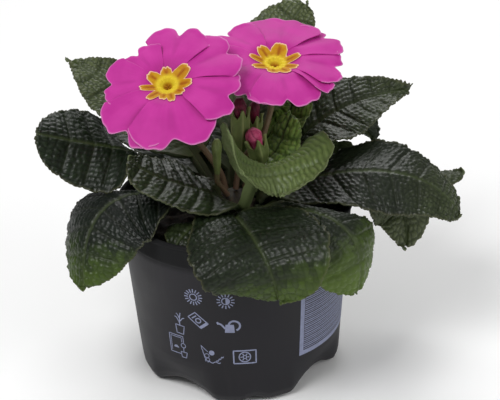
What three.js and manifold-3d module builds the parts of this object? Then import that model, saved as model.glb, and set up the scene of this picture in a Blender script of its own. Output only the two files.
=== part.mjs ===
// A potted primrose: a thin plastic nursery pot, its root ball of soil, a short crown, a rosette of
// wrinkled leaves, two open blooms and four buds. The leaves, blooms and buds grow from the crown,
// which stands in a plain hole in the soil. Millimetres, +Z up, origin at the centre of the pot's base.
import * as THREE from "three";
import { mergeVertices } from "three/addons/utils/BufferGeometryUtils.js";
import Module from "manifold-3d";

const wasm = await Module();
wasm.setup();

// ---- Driving dimensions -------------------------------------------------------------------------
const CLEARANCE = 0.35; // between pieces that rest on each other
const ROOT_CLEARANCE = 0.7; // between the crown and what grows from it

const POT_HEIGHT = 70;
const POT_LIP_RADIUS = 45.6;
const POT_LIP_DEPTH = 1.8;
const POT_COLLAR_DEPTH = 9.5;
const POT_COLLAR_STEP = 0.35;
const POT_FOOT_RADIUS = 38.9; // the wall's outer cone carried down to the ground
const POT_TAPER = 0.08; // growth of the wall's radius for each mm of height
const POT_WALL = 0.9;
const POT_SEGMENTS = 40;
const FEET = 4; // the pot stands on these, with a wide arch between each two and a small slot in each
const ARCH_AT = -38; // degrees, the middle of one arch
const ARCH_HALF_ANGLE = 22;
const ARCH_LIFT = 4.6;
const ARCH_RECESS = 2.6;
const ARCH_FADE = 18; // height at which the wall is round again
const SLOT_HALF_ANGLE = 7;
const SLOT_LIFT = 1.6;
const PAD_RADIUS = 12; // middle of the base, which touches the ground
const FOOT_INNER_RADIUS = 30;
const FOOT_OUTER_RADIUS = 35.2;
const CHANNEL_HEIGHT = 2.6; // the ring of base between the pad and the feet, clear of the ground
const DRAIN_HOLES = 8;
const DRAIN_RADIUS = 3;
const DRAIN_CIRCLE = 21;

const SOIL_TOP = 61.5;
const SOIL_RELIEF = 1.1;

const CROWN_RADIUS = 8;
const CROWN_FOOT = 47;
const CROWN_SHOULDER = 67;
const CROWN_TOP = 72;

const BLADE = 0.8; // thickness of a leaf blade
const STALK_THICKNESS = 2.2;
const STALK_HALF_WIDTH = 2.1;
const STALK_SHARE = 0.18; // of a leaf's length
const STALK_FOLD = 35; // degrees, the V of the stalk
const BLADE_TAPER = 0.85; // how slowly the blade narrows towards the stalk
const BLADE_TIP = 0.5; // and towards the tip
const VEIN_PAIRS = 7;
const VEIN_PAIRS_YOUNG = 5;
const VEIN_SLANT = 0.2; // how far towards the tip a side vein runs, as a share of the blade
const RIB_HEIGHT = 0.55; // swell of the blade between two side veins
const SCALLOP = 0.025; // of the half width, the margin's steps at the side veins

const PETAL = 0.7; // thickness of a petal
const PETAL_NOTCH = 0.13; // depth of the heart's notch, as a share of the petal's length
const NOTCH_WIDTH = 0.14; // share of the petal's half width
const PETAL_SHOULDER = 0.16; // how much shorter the petal's two edges are
const PETAL_TILT = 1; // height of one edge over the middle, and of the middle over the other edge
const PETAL_RUFFLE = 0.45;
const CLAW_RADIUS = 6; // where the petals part
const CLAW_HALF_ANGLE = 27; // degrees, half a petal at the claw
const PETAL_OPEN = 0.3; // share of its reach at which a petal has its full angle
const FUNNEL_RADIUS = 10; // the bloom's face dips to the throat inside it and falls away outside
const FUNNEL_DEPTH = 4.8;
const FACE_FALL = 2.2; // drop of the bloom's face over FACE_REACH beyond the funnel
const FACE_REACH = 16;
const DISC_RADIUS = 9.2; // the disc that joins the petals
const DISC_THICKNESS = 1;
const DISC_SINK = 0.3; // its top face under the petals' own
const EYE_ROOT = 5; // radius of the star between its lobes
const EYE_SEGMENTS = 40;
const EYE_THICKNESS = 0.6;
const THROAT_RADIUS = 3; // the raised ring round the throat
const THROAT_HEIGHT = 1.3;
const TUBE_RADIUS = 1.5; // corolla tube
const TUBE_LENGTH = 9.4;
const CALYX_RADIUS = 3.3;
const CALYX_LENGTH = 13;
const CALYX_DROP = 4.1; // from the foot of the corolla tube to the foot of the calyx
const NECK_DROP = 5; // from the foot of the calyx to where the stalk starts to bend
const STALK_RADIUS = 1.15; // flower stalk
const BUD_STALK_RADIUS = 0.98;

const rad = THREE.MathUtils.degToRad;
const mix = THREE.MathUtils.lerp;
const smooth = THREE.MathUtils.smoothstep;

// ---- Materials ----------------------------------------------------------------------------------
const finish = (color, roughness) => new THREE.MeshStandardMaterial({ color, roughness, metalness: 0 });
const POT_PLASTIC = finish(0x2e2d33, 0.5);
const SOIL = finish(0x3a2c22, 0.95);
const LEAF_DARK = finish(0x3c4f2c, 0.45);
const LEAF_YOUNG = finish(0x6a8a3c, 0.5);
const STEM_GREEN = finish(0x7d8a4e, 0.6);
const CROWN_BROWN = finish(0x55502f, 0.8);
const PETAL_PINK = finish(0xc83fa0, 0.55);
const EYE_YELLOW = finish(0xf0bd2a, 0.6);
const BUD_PINK = finish(0xc8578c, 0.55);
const BUD_WINE = finish(0x7a2038, 0.6);

// ---- Solids from grids of points ----------------------------------------------------------------

// A mesh's geometry as a manifold solid, with its shared points merged.
function solidOf(geometry) {
  const bare = new THREE.BufferGeometry().setAttribute("position", geometry.getAttribute("position"));
  if (geometry.index) bare.setIndex(geometry.index);
  const merged = mergeVertices(bare, 1e-4);
  return new wasm.Manifold(
    new wasm.Mesh({
      numProp: 3,
      vertProperties: new Float32Array(merged.getAttribute("position").array),
      triVerts: new Uint32Array(merged.index.array),
    }),
  );
}

function geometryOf(solid) {
  const { numProp, numVert, vertProperties, triVerts } = solid.getMesh();
  const points = new Float32Array(numVert * 3);
  for (let i = 0; i < numVert; i++) points.set(vertProperties.subarray(i * numProp, i * numProp + 3), i * 3);
  return new THREE.BufferGeometry()
    .setAttribute("position", new THREE.BufferAttribute(points, 3))
    .setIndex(new THREE.BufferAttribute(new Uint32Array(triVerts), 1));
}

function geometryFrom(points, triangles) {
  return new THREE.BufferGeometry().setFromPoints(points).setIndex(triangles);
}

// Normals of a grid of points, by the cross product of its two directions.
function gridNormals(grid) {
  const rows = grid.length;
  const columns = grid[0].length;
  return grid.map((row, i) =>
    row.map((_, j) => {
      const along = grid[Math.min(i + 1, rows - 1)][j].clone().sub(grid[Math.max(i - 1, 0)][j]);
      const across = grid[i][Math.min(j + 1, columns - 1)].clone().sub(grid[i][Math.max(j - 1, 0)]);
      return along.cross(across).normalize();
    }),
  );
}

// A closed blade: the upper grid, a copy of it set down along the normals, and a strip round the edge.
// Rows run from root to tip and columns from the right margin to the left. With pointed set, the last
// row is one point. Both faces are split into triangles alike.
function bladeGeometry(upper, normals, thickness, pointed) {
  const rows = upper.length;
  const columns = upper[0].length;
  const full = pointed ? rows - 1 : rows;
  const points = [];
  const index = [[], []];
  for (const side of [0, 1])
    for (let i = 0; i < full; i++)
      for (let j = 0; j < columns; j++) {
        index[side].push(points.length);
        points.push(upper[i][j].clone().addScaledVector(normals[i][j], -side * thickness(i, j)));
      }
  const mid = (columns - 1) / 2;
  const tips = [0, 1].map((side) => {
    const depth = -side * thickness(rows - 1, mid);
    points.push(upper[rows - 1][mid].clone().addScaledVector(normals[full - 1][mid], depth));
    return points.length - 1;
  });
  const at = (side, i, j) => index[side][i * columns + j];
  const triangles = [];
  const face = (a, b, c, flip) => (flip ? triangles.push(a, c, b) : triangles.push(a, b, c));
  for (const side of [0, 1]) {
    const flip = side === 1;
    for (let i = 0; i < full - 1; i++)
      for (let j = 0; j < columns - 1; j++) {
        const [a, b] = [at(side, i, j), at(side, i + 1, j)];
        const [c, d] = [at(side, i + 1, j + 1), at(side, i, j + 1)];
        if (j < mid) {
          face(a, b, c, flip);
          face(a, c, d, flip);
        } else {
          face(a, b, d, flip);
          face(b, c, d, flip);
        }
      }
    for (let j = 0; pointed && j < columns - 1; j++)
      face(at(side, full - 1, j), tips[side], at(side, full - 1, j + 1), flip);
  }
  const rim = [];
  for (let i = 0; i < full; i++) rim.push([at(0, i, 0), at(1, i, 0)]);
  if (pointed) rim.push(tips);
  else for (let j = 1; j < columns - 1; j++) rim.push([at(0, full - 1, j), at(1, full - 1, j)]);
  for (let i = full - 1; i >= 0; i--) rim.push([at(0, i, columns - 1), at(1, i, columns - 1)]);
  for (let j = columns - 2; j > 0; j--) rim.push([at(0, 0, j), at(1, 0, j)]);
  rim.forEach(([top, bottom], k) => {
    const [nextTop, nextBottom] = rim[(k + 1) % rim.length];
    triangles.push(top, bottom, nextTop, nextTop, bottom, nextBottom);
  });
  const used = pointed ? points : points.slice(0, -2);
  return geometryFrom(used, triangles);
}

// A solid turned about Z. profile is a list of [radius, height, ...] from pole to pole, and place gives
// the point for one profile entry at one angle, so that the turned shape may be lobed or rough.
function turnedGeometry(profile, segments, place, phase = 0) {
  const points = [];
  const rings = profile.map((entry, i) => {
    if (i === 0 || i === profile.length - 1) {
      points.push(place(entry, phase));
      return [points.length - 1];
    }
    return Array.from({ length: segments }, (_, k) => {
      points.push(place(entry, phase + (2 * Math.PI * k) / segments));
      return points.length - 1;
    });
  });
  const triangles = [];
  for (let i = 0; i < rings.length - 1; i++)
    for (let k = 0; k < segments; k++) {
      const next = (k + 1) % segments;
      const [low, high] = [rings[i], rings[i + 1]];
      if (low.length === 1) triangles.push(low[0], high[next], high[k]);
      else if (high.length === 1) triangles.push(low[k], low[next], high[0]);
      else triangles.push(low[k], low[next], high[next], low[k], high[next], high[k]);
    }
  return geometryFrom(points, triangles);
}

const turn = (radius, height, angle) =>
  new THREE.Vector3(radius * Math.cos(angle), radius * Math.sin(angle), height);

// ---- Pot ----------------------------------------------------------------------------------------

// 1 in the middle of an arch or slot that repeats once a foot, 0 beyond its half angle (degrees).
function gap(angle, middle, halfAngle) {
  const turnOff = Math.asin(Math.sin((FEET / 2) * (angle - rad(middle)))) / (FEET / 2);
  return Math.max(0, 1 - (turnOff / rad(halfAngle)) ** 2);
}

const arch = (angle) => gap(angle, ARCH_AT, ARCH_HALF_ANGLE);
const slot = (angle) => gap(angle, ARCH_AT + 180 / FEET, SLOT_HALF_ANGLE);

// Outer radius of the pot's wall at a height.
const potWallRadius = (height) => POT_FOOT_RADIUS + POT_TAPER * height;

function potGeometry() {
  const bend = 11; // height at which the arch's slope changes
  const collarFoot = POT_HEIGHT - POT_COLLAR_DEPTH;
  const collarRadius = potWallRadius(POT_HEIGHT) + POT_COLLAR_STEP;
  // [radius, height, share of the arch's lift, share of its recess]
  const outside = [
    [0, 0, 0, 0],
    [PAD_RADIUS, 0, 0, 0],
    [PAD_RADIUS + 2.5, CHANNEL_HEIGHT, 0, 0],
    [FOOT_INNER_RADIUS - 2.5, CHANNEL_HEIGHT, 0, 0],
    [FOOT_INNER_RADIUS, 0, 1, 0.4],
    [FOOT_OUTER_RADIUS, 0, 1, 1],
    [POT_FOOT_RADIUS - 0.9, 1.3, 1, 1],
    [potWallRadius(4), 4.2, 0.9, 1],
    [potWallRadius(bend), bend, 0.25, 0.6],
    [potWallRadius(ARCH_FADE), ARCH_FADE, 0, 0],
    [potWallRadius(collarFoot - 0.5), collarFoot - 0.5, 0, 0],
    [potWallRadius(collarFoot) + POT_COLLAR_STEP, collarFoot, 0, 0],
    [collarRadius, POT_HEIGHT - POT_LIP_DEPTH, 0, 0],
    [POT_LIP_RADIUS, POT_HEIGHT - POT_LIP_DEPTH + 0.2, 0, 0],
    [POT_LIP_RADIUS, POT_HEIGHT - 0.3, 0, 0],
  ];
  const inside = [
    [POT_LIP_RADIUS - 0.6, POT_HEIGHT, 0, 0],
    [collarRadius - POT_WALL, POT_HEIGHT - 0.2, 0, 0],
    [potWallRadius(collarFoot) - POT_WALL, collarFoot, 0, 0],
    [potWallRadius(ARCH_FADE) - POT_WALL, ARCH_FADE, 0, 0],
    [potWallRadius(bend) - POT_WALL, bend + 0.2, 0.25, 0.6],
    [potWallRadius(4) - POT_WALL, 4.6, 0.9, 1],
    [POT_FOOT_RADIUS - 1.9, 2, 1, 1],
    [FOOT_OUTER_RADIUS - 0.4, POT_WALL, 1, 1],
    [FOOT_INNER_RADIUS + 0.5, POT_WALL, 1, 0.4],
    [FOOT_INNER_RADIUS - 2.1, CHANNEL_HEIGHT + POT_WALL, 0, 0],
    [PAD_RADIUS + 2.1, CHANNEL_HEIGHT + POT_WALL, 0, 0],
    [PAD_RADIUS - 0.4, POT_WALL, 0, 0],
    [0, POT_WALL, 0, 0],
  ];
  const place = ([radius, height, lift, recess], angle) =>
    turn(
      radius - recess * ARCH_RECESS * arch(angle),
      height + lift * (ARCH_LIFT * arch(angle) + SLOT_LIFT * slot(angle)),
      angle,
    );
  const shell = turnedGeometry([...outside, ...inside], POT_SEGMENTS, place, rad(ARCH_AT));
  let pot = solidOf(shell);
  for (let k = 0; k < DRAIN_HOLES; k++) {
    const drill = new THREE.CylinderGeometry(DRAIN_RADIUS, DRAIN_RADIUS, 8, 8).rotateX(Math.PI / 2);
    const angle = (2 * Math.PI * k) / DRAIN_HOLES;
    drill.translate(DRAIN_CIRCLE * Math.cos(angle), DRAIN_CIRCLE * Math.sin(angle), CHANNEL_HEIGHT);
    pot = pot.subtract(solidOf(drill));
  }
  return geometryOf(pot);
}

// ---- Soil and crown -----------------------------------------------------------------------------

// Lumps of peat on the soil: two crossed waves, a formula with no draw.
function lump(x, y) {
  const broad = Math.sin(0.55 * x + 1.3 * Math.sin(0.31 * y));
  const fine = Math.sin(0.83 * y + 0.37 * x);
  return SOIL_RELIEF * (0.6 * broad + 0.4 * fine);
}

function soilGeometry() {
  const floor = CHANNEL_HEIGHT + POT_WALL + CLEARANCE;
  const hole = CROWN_RADIUS + 0.6 + CLEARANCE;
  const topRadius = potWallRadius(SOIL_TOP - 3) - POT_WALL - CLEARANCE;
  const profile = [
    [0, floor, 0],
    [27, floor, 0],
    [33.2, 8, 0],
    [potWallRadius(ARCH_FADE) - POT_WALL - CLEARANCE - 0.3, ARCH_FADE + 0.2, 0],
    [topRadius - 0.3, SOIL_TOP - 2, 0],
    [topRadius - 2, SOIL_TOP, 0.3],
    [34, SOIL_TOP + 0.3, 1],
    [26, SOIL_TOP + 0.8, 1],
    [17, SOIL_TOP + 0.6, 1],
    [hole + 0.8, SOIL_TOP + 0.4, 0.2],
    [hole - 3, CROWN_FOOT, 0],
    [0, CROWN_FOOT, 0],
  ];
  return turnedGeometry(profile, POT_SEGMENTS, ([radius, height, rough], angle) => {
    const point = turn(radius, height, angle);
    point.z += rough * lump(point.x, point.y);
    return point;
  });
}

// Radius of the crown at a height.
function crownRadius(height) {
  const share = Math.max(0, height - CROWN_SHOULDER) / (CROWN_TOP - CROWN_SHOULDER);
  return CROWN_RADIUS * Math.sqrt(Math.max(0, 1 - share ** 2));
}

function crownGeometry() {
  const rise = CROWN_TOP - CROWN_SHOULDER;
  const profile = [
    [0, CROWN_FOOT + CLEARANCE],
    [CROWN_RADIUS - 2.6, CROWN_FOOT + CLEARANCE],
    [CROWN_RADIUS, SOIL_TOP - 1],
    [CROWN_RADIUS, CROWN_SHOULDER],
    [crownRadius(CROWN_SHOULDER + 0.5 * rise), CROWN_SHOULDER + 0.5 * rise],
    [crownRadius(CROWN_SHOULDER + 0.85 * rise), CROWN_SHOULDER + 0.85 * rise],
    [0, CROWN_TOP],
  ];
  return turnedGeometry(profile, 18, ([radius, height], angle) => turn(radius, height, angle));
}

// ---- Leaves -------------------------------------------------------------------------------------

// Each leaf leaves the crown at azimuth (0 is +X, 90 is +Y) and seat, its height on the crown. route is
// its midrib at one third, at two thirds and at the tip, and heading the way it points if that isn't
// towards the tip. width is the blade's, laid flat, stalk the share of the length that is stalk, and
// taper and tip say how slowly the blade narrows towards each end. roll turns the blade about its
// midrib, first at the stalk and then at the tip, above 0 to lift its left half, seen from the crown.
// cup lifts both halves off the midrib as a V, which opens towards the tip by the share opens, and curl
// bends them up towards the margin, or down below 0; a pair gives the right half and the left. wave is
// the margin's ruffle, and pairs counts the side veins.
const LEAVES = [
  {
    name: "leaf_left_back", azimuth: 150, seat: 68,
    route: [[-23.4, 16.9, 91.7], [-44.6, 24.3, 107.8], [-62.8, 36.8, 114.5]],
    width: 40, taper: 0.52, tip: 1.2, roll: [-3, -29], cup: [-23, 0], curl: [23, 1], wave: 1.5,
  },
  {
    name: "leaf_left", azimuth: 178, seat: 65.5,
    route: [[-30.9, 5.6, 83.7], [-45.3, 5.8, 89.7], [-73.1, 0, 99.2]],
    width: 40, taper: 1.09, roll: [27, -39], cup: [-9, -22], curl: [-8, 0], wave: 2,
  },
  {
    name: "leaf_left_low", azimuth: 206, seat: 64,
    route: [[-28.7, -11.1, 77.6], [-48.5, -22, 77.3], [-56.9, -37, 52.8]],
    width: 47, roll: [1, -17], cup: [-12, -7], curl: [-27, -17], wave: 2,
  },
  {
    name: "leaf_left_under", azimuth: 240, seat: 64.5,
    route: [[-9.5, -22.2, 67.9], [-14.6, -27, 71.6], [-22.7, -35.6, 67.2]],
    width: 24, roll: [0, 0], cup: [-4, 3], curl: [-30, -30], pairs: 5, wave: 1,
  },
  {
    name: "leaf_left_front", azimuth: 212, seat: 67,
    route: [[-7.9, -13.5, 77.4], [-23.6, -16.9, 85.2], [-37.4, -16, 94.3]],
    width: 30, taper: 0.52, roll: [0, -19], cup: [10, -13], curl: [-12, -2], wave: 1,
  },
  {
    name: "leaf_front", azimuth: 278, seat: 64,
    route: [[0.3, -23.6, 72.6], [7.5, -48, 73], [14, -54.5, 53.5]],
    heading: 268, width: 50, tip: 0.5, roll: [0, -4], cup: [11, 9], curl: [-34, -11], wave: 2,
  },
  {
    name: "leaf_front_right", azimuth: 314, seat: 64.5,
    route: [[16.3, -19.3, 73.4], [37, -35.1, 74.2], [44.3, -37.3, 46.3]],
    width: 37, taper: 2.02, tip: 0.42, roll: [-3, -9], cup: [-20, 11], curl: [-24, -48], wave: 2,
  },
  {
    name: "leaf_right", azimuth: 356, seat: 67.2,
    route: [[25.6, -1.2, 75.8], [58.5, -7.5, 80.8], [84.6, -10.9, 63.2]],
    width: 37, taper: 0.58, tip: 0.41, roll: [10, 16], cup: [-14, -7], curl: [4, 2], wave: 2,
  },
  {
    name: "leaf_right_under", azimuth: 342, seat: 64.5,
    route: [[22.6, -2.8, 68.4], [52.2, -0.5, 70.9], [65.7, -2.7, 45.8]],
    width: 26, taper: 1.19, roll: [-15, 70], cup: [14, 26], curl: [-23, -14], pairs: 5, wave: 2,
  },
  {
    name: "leaf_right_far", azimuth: 14, seat: 63.8,
    route: [[36.6, 19.2, 76], [57.4, 24.6, 69.4], [91.6, 28, 62.2]],
    width: 37, taper: 1.27, roll: [6, -26], cup: [-8, -10], curl: [-43, 13], pairs: 5, wave: 2,
  },
  {
    name: "leaf_right_back", azimuth: 30, seat: 67,
    route: [[26.8, 17.7, 85.5], [47.7, 26.2, 95.2], [72, 36.5, 95.7]],
    width: 34, taper: 0.97, tip: 1.17, roll: [2, 24], cup: [2, 7], curl: [-1, 6], wave: 2,
  },
  {
    name: "leaf_right_back_low", azimuth: 48, seat: 64,
    route: [[15.3, 19.9, 73.4], [31.5, 37.7, 85.5], [58.3, 51.5, 68.7]],
    width: 38, roll: [0, -9], cup: [14, 4], curl: [-8, -5], pairs: 5, wave: 2,
  },
  {
    name: "leaf_top_back", azimuth: 82, seat: 69.5,
    route: [[4.3, 22.4, 89.1], [16.1, 38.4, 110.3], [31, 50.1, 128.8]],
    width: 31, roll: [-6, 6], cup: [13, -2], curl: [2, 0], wave: 1.5,
  },
  {
    name: "leaf_back", azimuth: 98, seat: 66,
    route: [[-1.7, 28.9, 79.3], [-7, 53, 93.5], [-10, 76, 90]],
    width: 44, roll: [0, 0], cup: [6, 6], curl: [-15, -15], pairs: 5, wave: 2,
  },
  {
    name: "leaf_back_left", azimuth: 124, seat: 64.5,
    route: [[-16, 25, 75], [-31, 47, 80], [-43, 65, 72]],
    width: 42, roll: [0, 0], cup: 6, curl: -15, pairs: 5, wave: 2,
  },
  {
    name: "leaf_heart_front", azimuth: 285, seat: 69,
    route: [[5.7, -15.6, 79.3], [11, -18.5, 90.5], [16.2, -30.2, 83.9]],
    width: 51, stalk: 0.4, taper: 1.03, roll: [-3, 3], cup: [20, -19], opens: 1, curl: [69, 55],
    wave: 1, young: true,
  },
  {
    name: "leaf_heart_back", azimuth: 22, seat: 70.6,
    route: [[11.1, 5.4, 81.6], [15.6, 6.6, 84], [22.7, 14.2, 96.7]],
    width: 21, roll: [-10, 5], cup: [-2, 9], curl: [-47, -41], wave: 1, young: true,
  },
  {
    name: "leaf_heart_far", azimuth: 57, seat: 67.7,
    route: [[11, 20.4, 81.2], [21.2, 25.4, 90.8], [22.4, 30.4, 96.5]],
    width: 22, roll: [0, 0], cup: 10, curl: 0, wave: 1, young: true,
  },
];

const pair = (value) => (Array.isArray(value) ? value : [value, value]);

// The midrib at share t: the cubic through its root and the three points of its route.
function midribAt(leaf, t) {
  const root = turn(crownRadius(leaf.seat) + ROOT_CLEARANCE, leaf.seat, rad(leaf.azimuth));
  const stations = [root, ...leaf.route.map((p) => new THREE.Vector3(...p))];
  const weights = [
    -4.5 * (t - 1 / 3) * (t - 2 / 3) * (t - 1),
    13.5 * t * (t - 2 / 3) * (t - 1),
    -13.5 * t * (t - 1 / 3) * (t - 1),
    4.5 * t * (t - 1 / 3) * (t - 2 / 3),
  ];
  const point = new THREE.Vector3();
  stations.forEach((station, i) => point.addScaledVector(station, weights[i]));
  return point;
}

// The midrib's point at share t, with the blade's sideways direction, level before the roll, and its
// upward one.
function frameAt(leaf, t) {
  const ahead = midribAt(leaf, t + 1e-3).sub(midribAt(leaf, t - 1e-3)).normalize();
  const [endX, endY] = leaf.route[2];
  const side = turn(1, 0, Math.PI / 2 + (leaf.heading ? rad(leaf.heading) : Math.atan2(endY, endX)));
  side.addScaledVector(ahead, -side.dot(ahead)).normalize();
  const above = ahead.clone().cross(side);
  const roll = rad(mix(leaf.roll[0], leaf.roll[1], smooth(t, 0.35, 1)));
  const turned = side.clone().multiplyScalar(Math.cos(roll)).addScaledVector(above, Math.sin(roll));
  return { point: midribAt(leaf, t), side: turned, up: ahead.clone().cross(turned) };
}

const stalkShare = (leaf) => leaf.stalk ?? STALK_SHARE;
const bladeShare = (leaf, t) => Math.max(0, (t - stalkShare(leaf)) / (1 - stalkShare(leaf)));

// Half width of a leaf at share t of its length: a narrow winged stalk that widens to an obovate blade.
function halfWidth(leaf, t) {
  const blade = bladeShare(leaf, t);
  const taper = leaf.taper ?? BLADE_TAPER;
  const tip = leaf.tip ?? BLADE_TIP;
  const widest = taper / (taper + tip);
  const outline = (share) => share ** taper * Math.max(0, 1 - share) ** tip;
  return STALK_HALF_WIDTH * (1 - blade) + (leaf.width / 2 - 0.7) * (outline(blade) / outline(widest));
}

// A point of the leaf at share t of its length and v from -1, the right margin, to 1.
function leafPoint(leaf, t, v) {
  const { point, side, up } = frameAt(leaf, t);
  const left = v > 0 ? 1 : 0;
  const reach = Math.abs(v);
  const width = halfWidth(leaf, t);
  const open = smooth(t, stalkShare(leaf) * 0.5, stalkShare(leaf) + 0.25);
  const opening = 1 - (leaf.opens ?? 0) * smooth(t, 0.6, 1);
  const fold = rad(mix(STALK_FOLD * smooth(t, 0, 0.1), pair(leaf.cup)[left] * opening, open));
  const curl = rad(pair(leaf.curl)[left]) * open;
  const straight = Math.abs(curl) < 1e-3;
  const across = straight ? reach * Math.cos(fold) : (Math.sin(fold + curl * reach) - Math.sin(fold)) / curl;
  const lift = straight ? reach * Math.sin(fold) : (Math.cos(fold) - Math.cos(fold + curl * reach)) / curl;
  const ruffle = leaf.wave * open * reach ** 2 * Math.sin(13 * t + (left ? 0 : 2.1) + rad(leaf.azimuth) * 3);
  point.addScaledVector(side, Math.sign(v) * width * across);
  return point.addScaledVector(up, width * lift + ruffle);
}

function leafGeometry(leaf) {
  const pairs = leaf.pairs ?? (leaf.young ? VEIN_PAIRS_YOUNG : VEIN_PAIRS);
  const columns = 7;
  const middle = (columns - 1) / 2;
  const stalk = stalkShare(leaf);
  const shares = [0, 0.5 * stalk];
  const bladeRows = 2 * pairs + 1;
  for (let i = 0; i <= bladeRows; i++) shares.push(stalk + ((1 - stalk) * i) / bladeRows);
  const rib = shares.map((_, i) => (i < 2 ? 0 : i % 2 === 0 ? 1 : -0.7));
  const grid = shares.map((share, i) =>
    Array.from({ length: columns }, (_, j) => {
      const v = (j - middle) / middle;
      const blade = bladeShare(leaf, share);
      const slant = VEIN_SLANT * Math.abs(v) ** 1.2 * (1 - blade) * Math.min(1, 3 * blade);
      const scallop = Math.abs(v) === 1 ? 1 + SCALLOP * rib[i] : 1;
      return leafPoint(leaf, share + slant * (1 - stalk), v * scallop);
    }),
  );
  const normals = gridNormals(grid);
  const last = grid.length - 1;
  for (let j = 0; j < columns; j++) {
    normals[0][j].copy(frameAt(leaf, 0).up);
    normals[last][j].copy(normals[last - 1][middle]);
  }
  const upper = grid.map((row, i) =>
    row.map((point, j) => {
      const reach = Math.abs(j - middle) / middle;
      const blade = bladeShare(leaf, shares[i]);
      const swell = Math.sin(Math.PI * 0.86 * reach) * smooth(blade, 0, 0.2) * (1 - smooth(blade, 0.9, 1));
      return point.clone().addScaledVector(normals[i][j], rib[i] * RIB_HEIGHT * swell);
    }),
  );
  const thickness = (i, j) => {
    const midrib = j === middle ? 0.5 * (1 - shares[i]) : 0;
    return mix(BLADE + midrib, STALK_THICKNESS, 1 - smooth(shares[i], 0, stalk + 0.3));
  };
  return bladeGeometry(upper, normals, thickness, true);
}

// ---- Blooms and buds ----------------------------------------------------------------------------

// The shortest turn that lays +Z along axis.
function facing(axis) {
  const end = new THREE.Vector3(...axis).normalize();
  return new THREE.Quaternion().setFromUnitVectors(new THREE.Vector3(0, 0, 1), end);
}

// A geometry built about +Z, set at a place and turned to face along an axis.
function set(geometry, place, turnBy) {
  return geometry.applyQuaternion(turnBy).translate(...place);
}

// A point at a distance from place, along axis.
function along(place, axis, distance) {
  const unit = new THREE.Vector3(...axis).normalize();
  return new THREE.Vector3(...place).addScaledVector(unit, distance);
}

// A stalk through points, as a solid with eight sides.
function stalkSolid(points, radius) {
  const section = new THREE.Shape().absarc(0, 0, radius, 0, 2 * Math.PI);
  const path = new THREE.CatmullRomCurve3(points);
  const options = { curveSegments: 4, steps: 9, bevelEnabled: false, extrudePath: path };
  return solidOf(new THREE.ExtrudeGeometry(section, options));
}

// Where a flower stalk stands on the crown's dome.
function foot([x, y]) {
  const share = Math.hypot(x, y) / CROWN_RADIUS;
  const rise = (CROWN_TOP - CROWN_SHOULDER) * Math.sqrt(1 - share * share);
  return new THREE.Vector3(x, y, CROWN_SHOULDER + rise + ROOT_CLEARANCE);
}

// Both blooms. at is the middle of the face and faces the way the bloom looks. petals lists each petal's
// direction about the throat, its reach from it and its half angle, and star the same of each lobe of
// the eye, all in degrees and mm. stands is the stalk's foot on the crown, and bends are points that the
// stalk passes.
const BLOOMS = [
  {
    name: "flower_left", at: [-22.8, -14, 123.8], faces: [-0.08, -0.52, 0.85],
    petals: [
      [-20, 27, 34], [-86, 28.3, 42], [-129, 28.2, 36], [174, 23.2, 32], [127, 19.2, 32],
      [76, 25.8, 34], [28, 28.8, 28],
    ],
    star: [
      [35, 10.2, 20], [-10, 9.5, 16], [-44, 8.2, 16], [-79, 9.6, 12], [-104, 7.9, 15], [-134, 10.4, 11],
      [-168, 10.3, 10], [147, 8.2, 20], [91, 7.2, 18],
    ],
    stands: [-3.4, 1.2], bends: [[-5, 1, 79], [-13, 0, 93]],
  },
  {
    name: "flower_right", at: [17.3, 5, 123.6], faces: [0.08, -0.28, 0.95],
    petals: [
      [140, 25.8, 32], [80, 29.6, 37], [39, 29, 28], [-6, 25.6, 34], [-28, 25.8, 22], [-80, 26.4, 37],
      [-120, 25.5, 32], [-166, 24, 34],
    ],
    star: [
      [74, 9.6, 24], [15, 9.9, 13], [-32, 9.7, 14], [-62, 9.9, 16], [-98, 8.8, 20], [-145, 10.5, 13],
      [173, 9.9, 12], [129, 9.2, 20],
    ],
    stands: [4.2, 2.2], bends: [[7.2, 4, 80], [13, 8.3, 94]],
  },
];

// Height of the bloom's face at a radius: a shallow funnel round the throat, then falling away a little.
function faceHeight(radius) {
  if (radius < FUNNEL_RADIUS) return -FUNNEL_DEPTH * (1 - radius / FUNNEL_RADIUS);
  return -FACE_FALL * ((radius - FUNNEL_RADIUS) / FACE_REACH) ** 2;
}

// One petal in the bloom's own frame: a heart with its point at the eye. Its clockwise edge lies over
// its neighbour and the other edge under.
function petalGeometry([direction, length, halfAngle], index) {
  const columns = 7;
  const shares = [0, 0.25, 0.64, 1];
  const grid = shares.map((q) =>
    Array.from({ length: columns }, (_, j) => {
      const v = (2 * j) / (columns - 1) - 1;
      const notch = PETAL_NOTCH * Math.exp(-((v / NOTCH_WIDTH) ** 2));
      const reach = length * (1 - notch - PETAL_SHOULDER * v ** 4);
      const radius = CLAW_RADIUS + (reach - CLAW_RADIUS) * q;
      const angle = rad(direction + v * mix(CLAW_HALF_ANGLE, halfAngle, smooth(q, 0, PETAL_OPEN)));
      const outer = smooth(radius, FUNNEL_RADIUS, FUNNEL_RADIUS + 5);
      const ruffle = PETAL_RUFFLE * outer * q * Math.sin(4.5 * v + 1.7 * index);
      return turn(radius, faceHeight(radius) - mix(0.12, PETAL_TILT, outer) * v + ruffle, angle);
    }),
  );
  const normals = grid.map((row) => row.map(() => new THREE.Vector3(0, 0, 1)));
  return bladeGeometry(grid, normals, () => PETAL, false);
}

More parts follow.
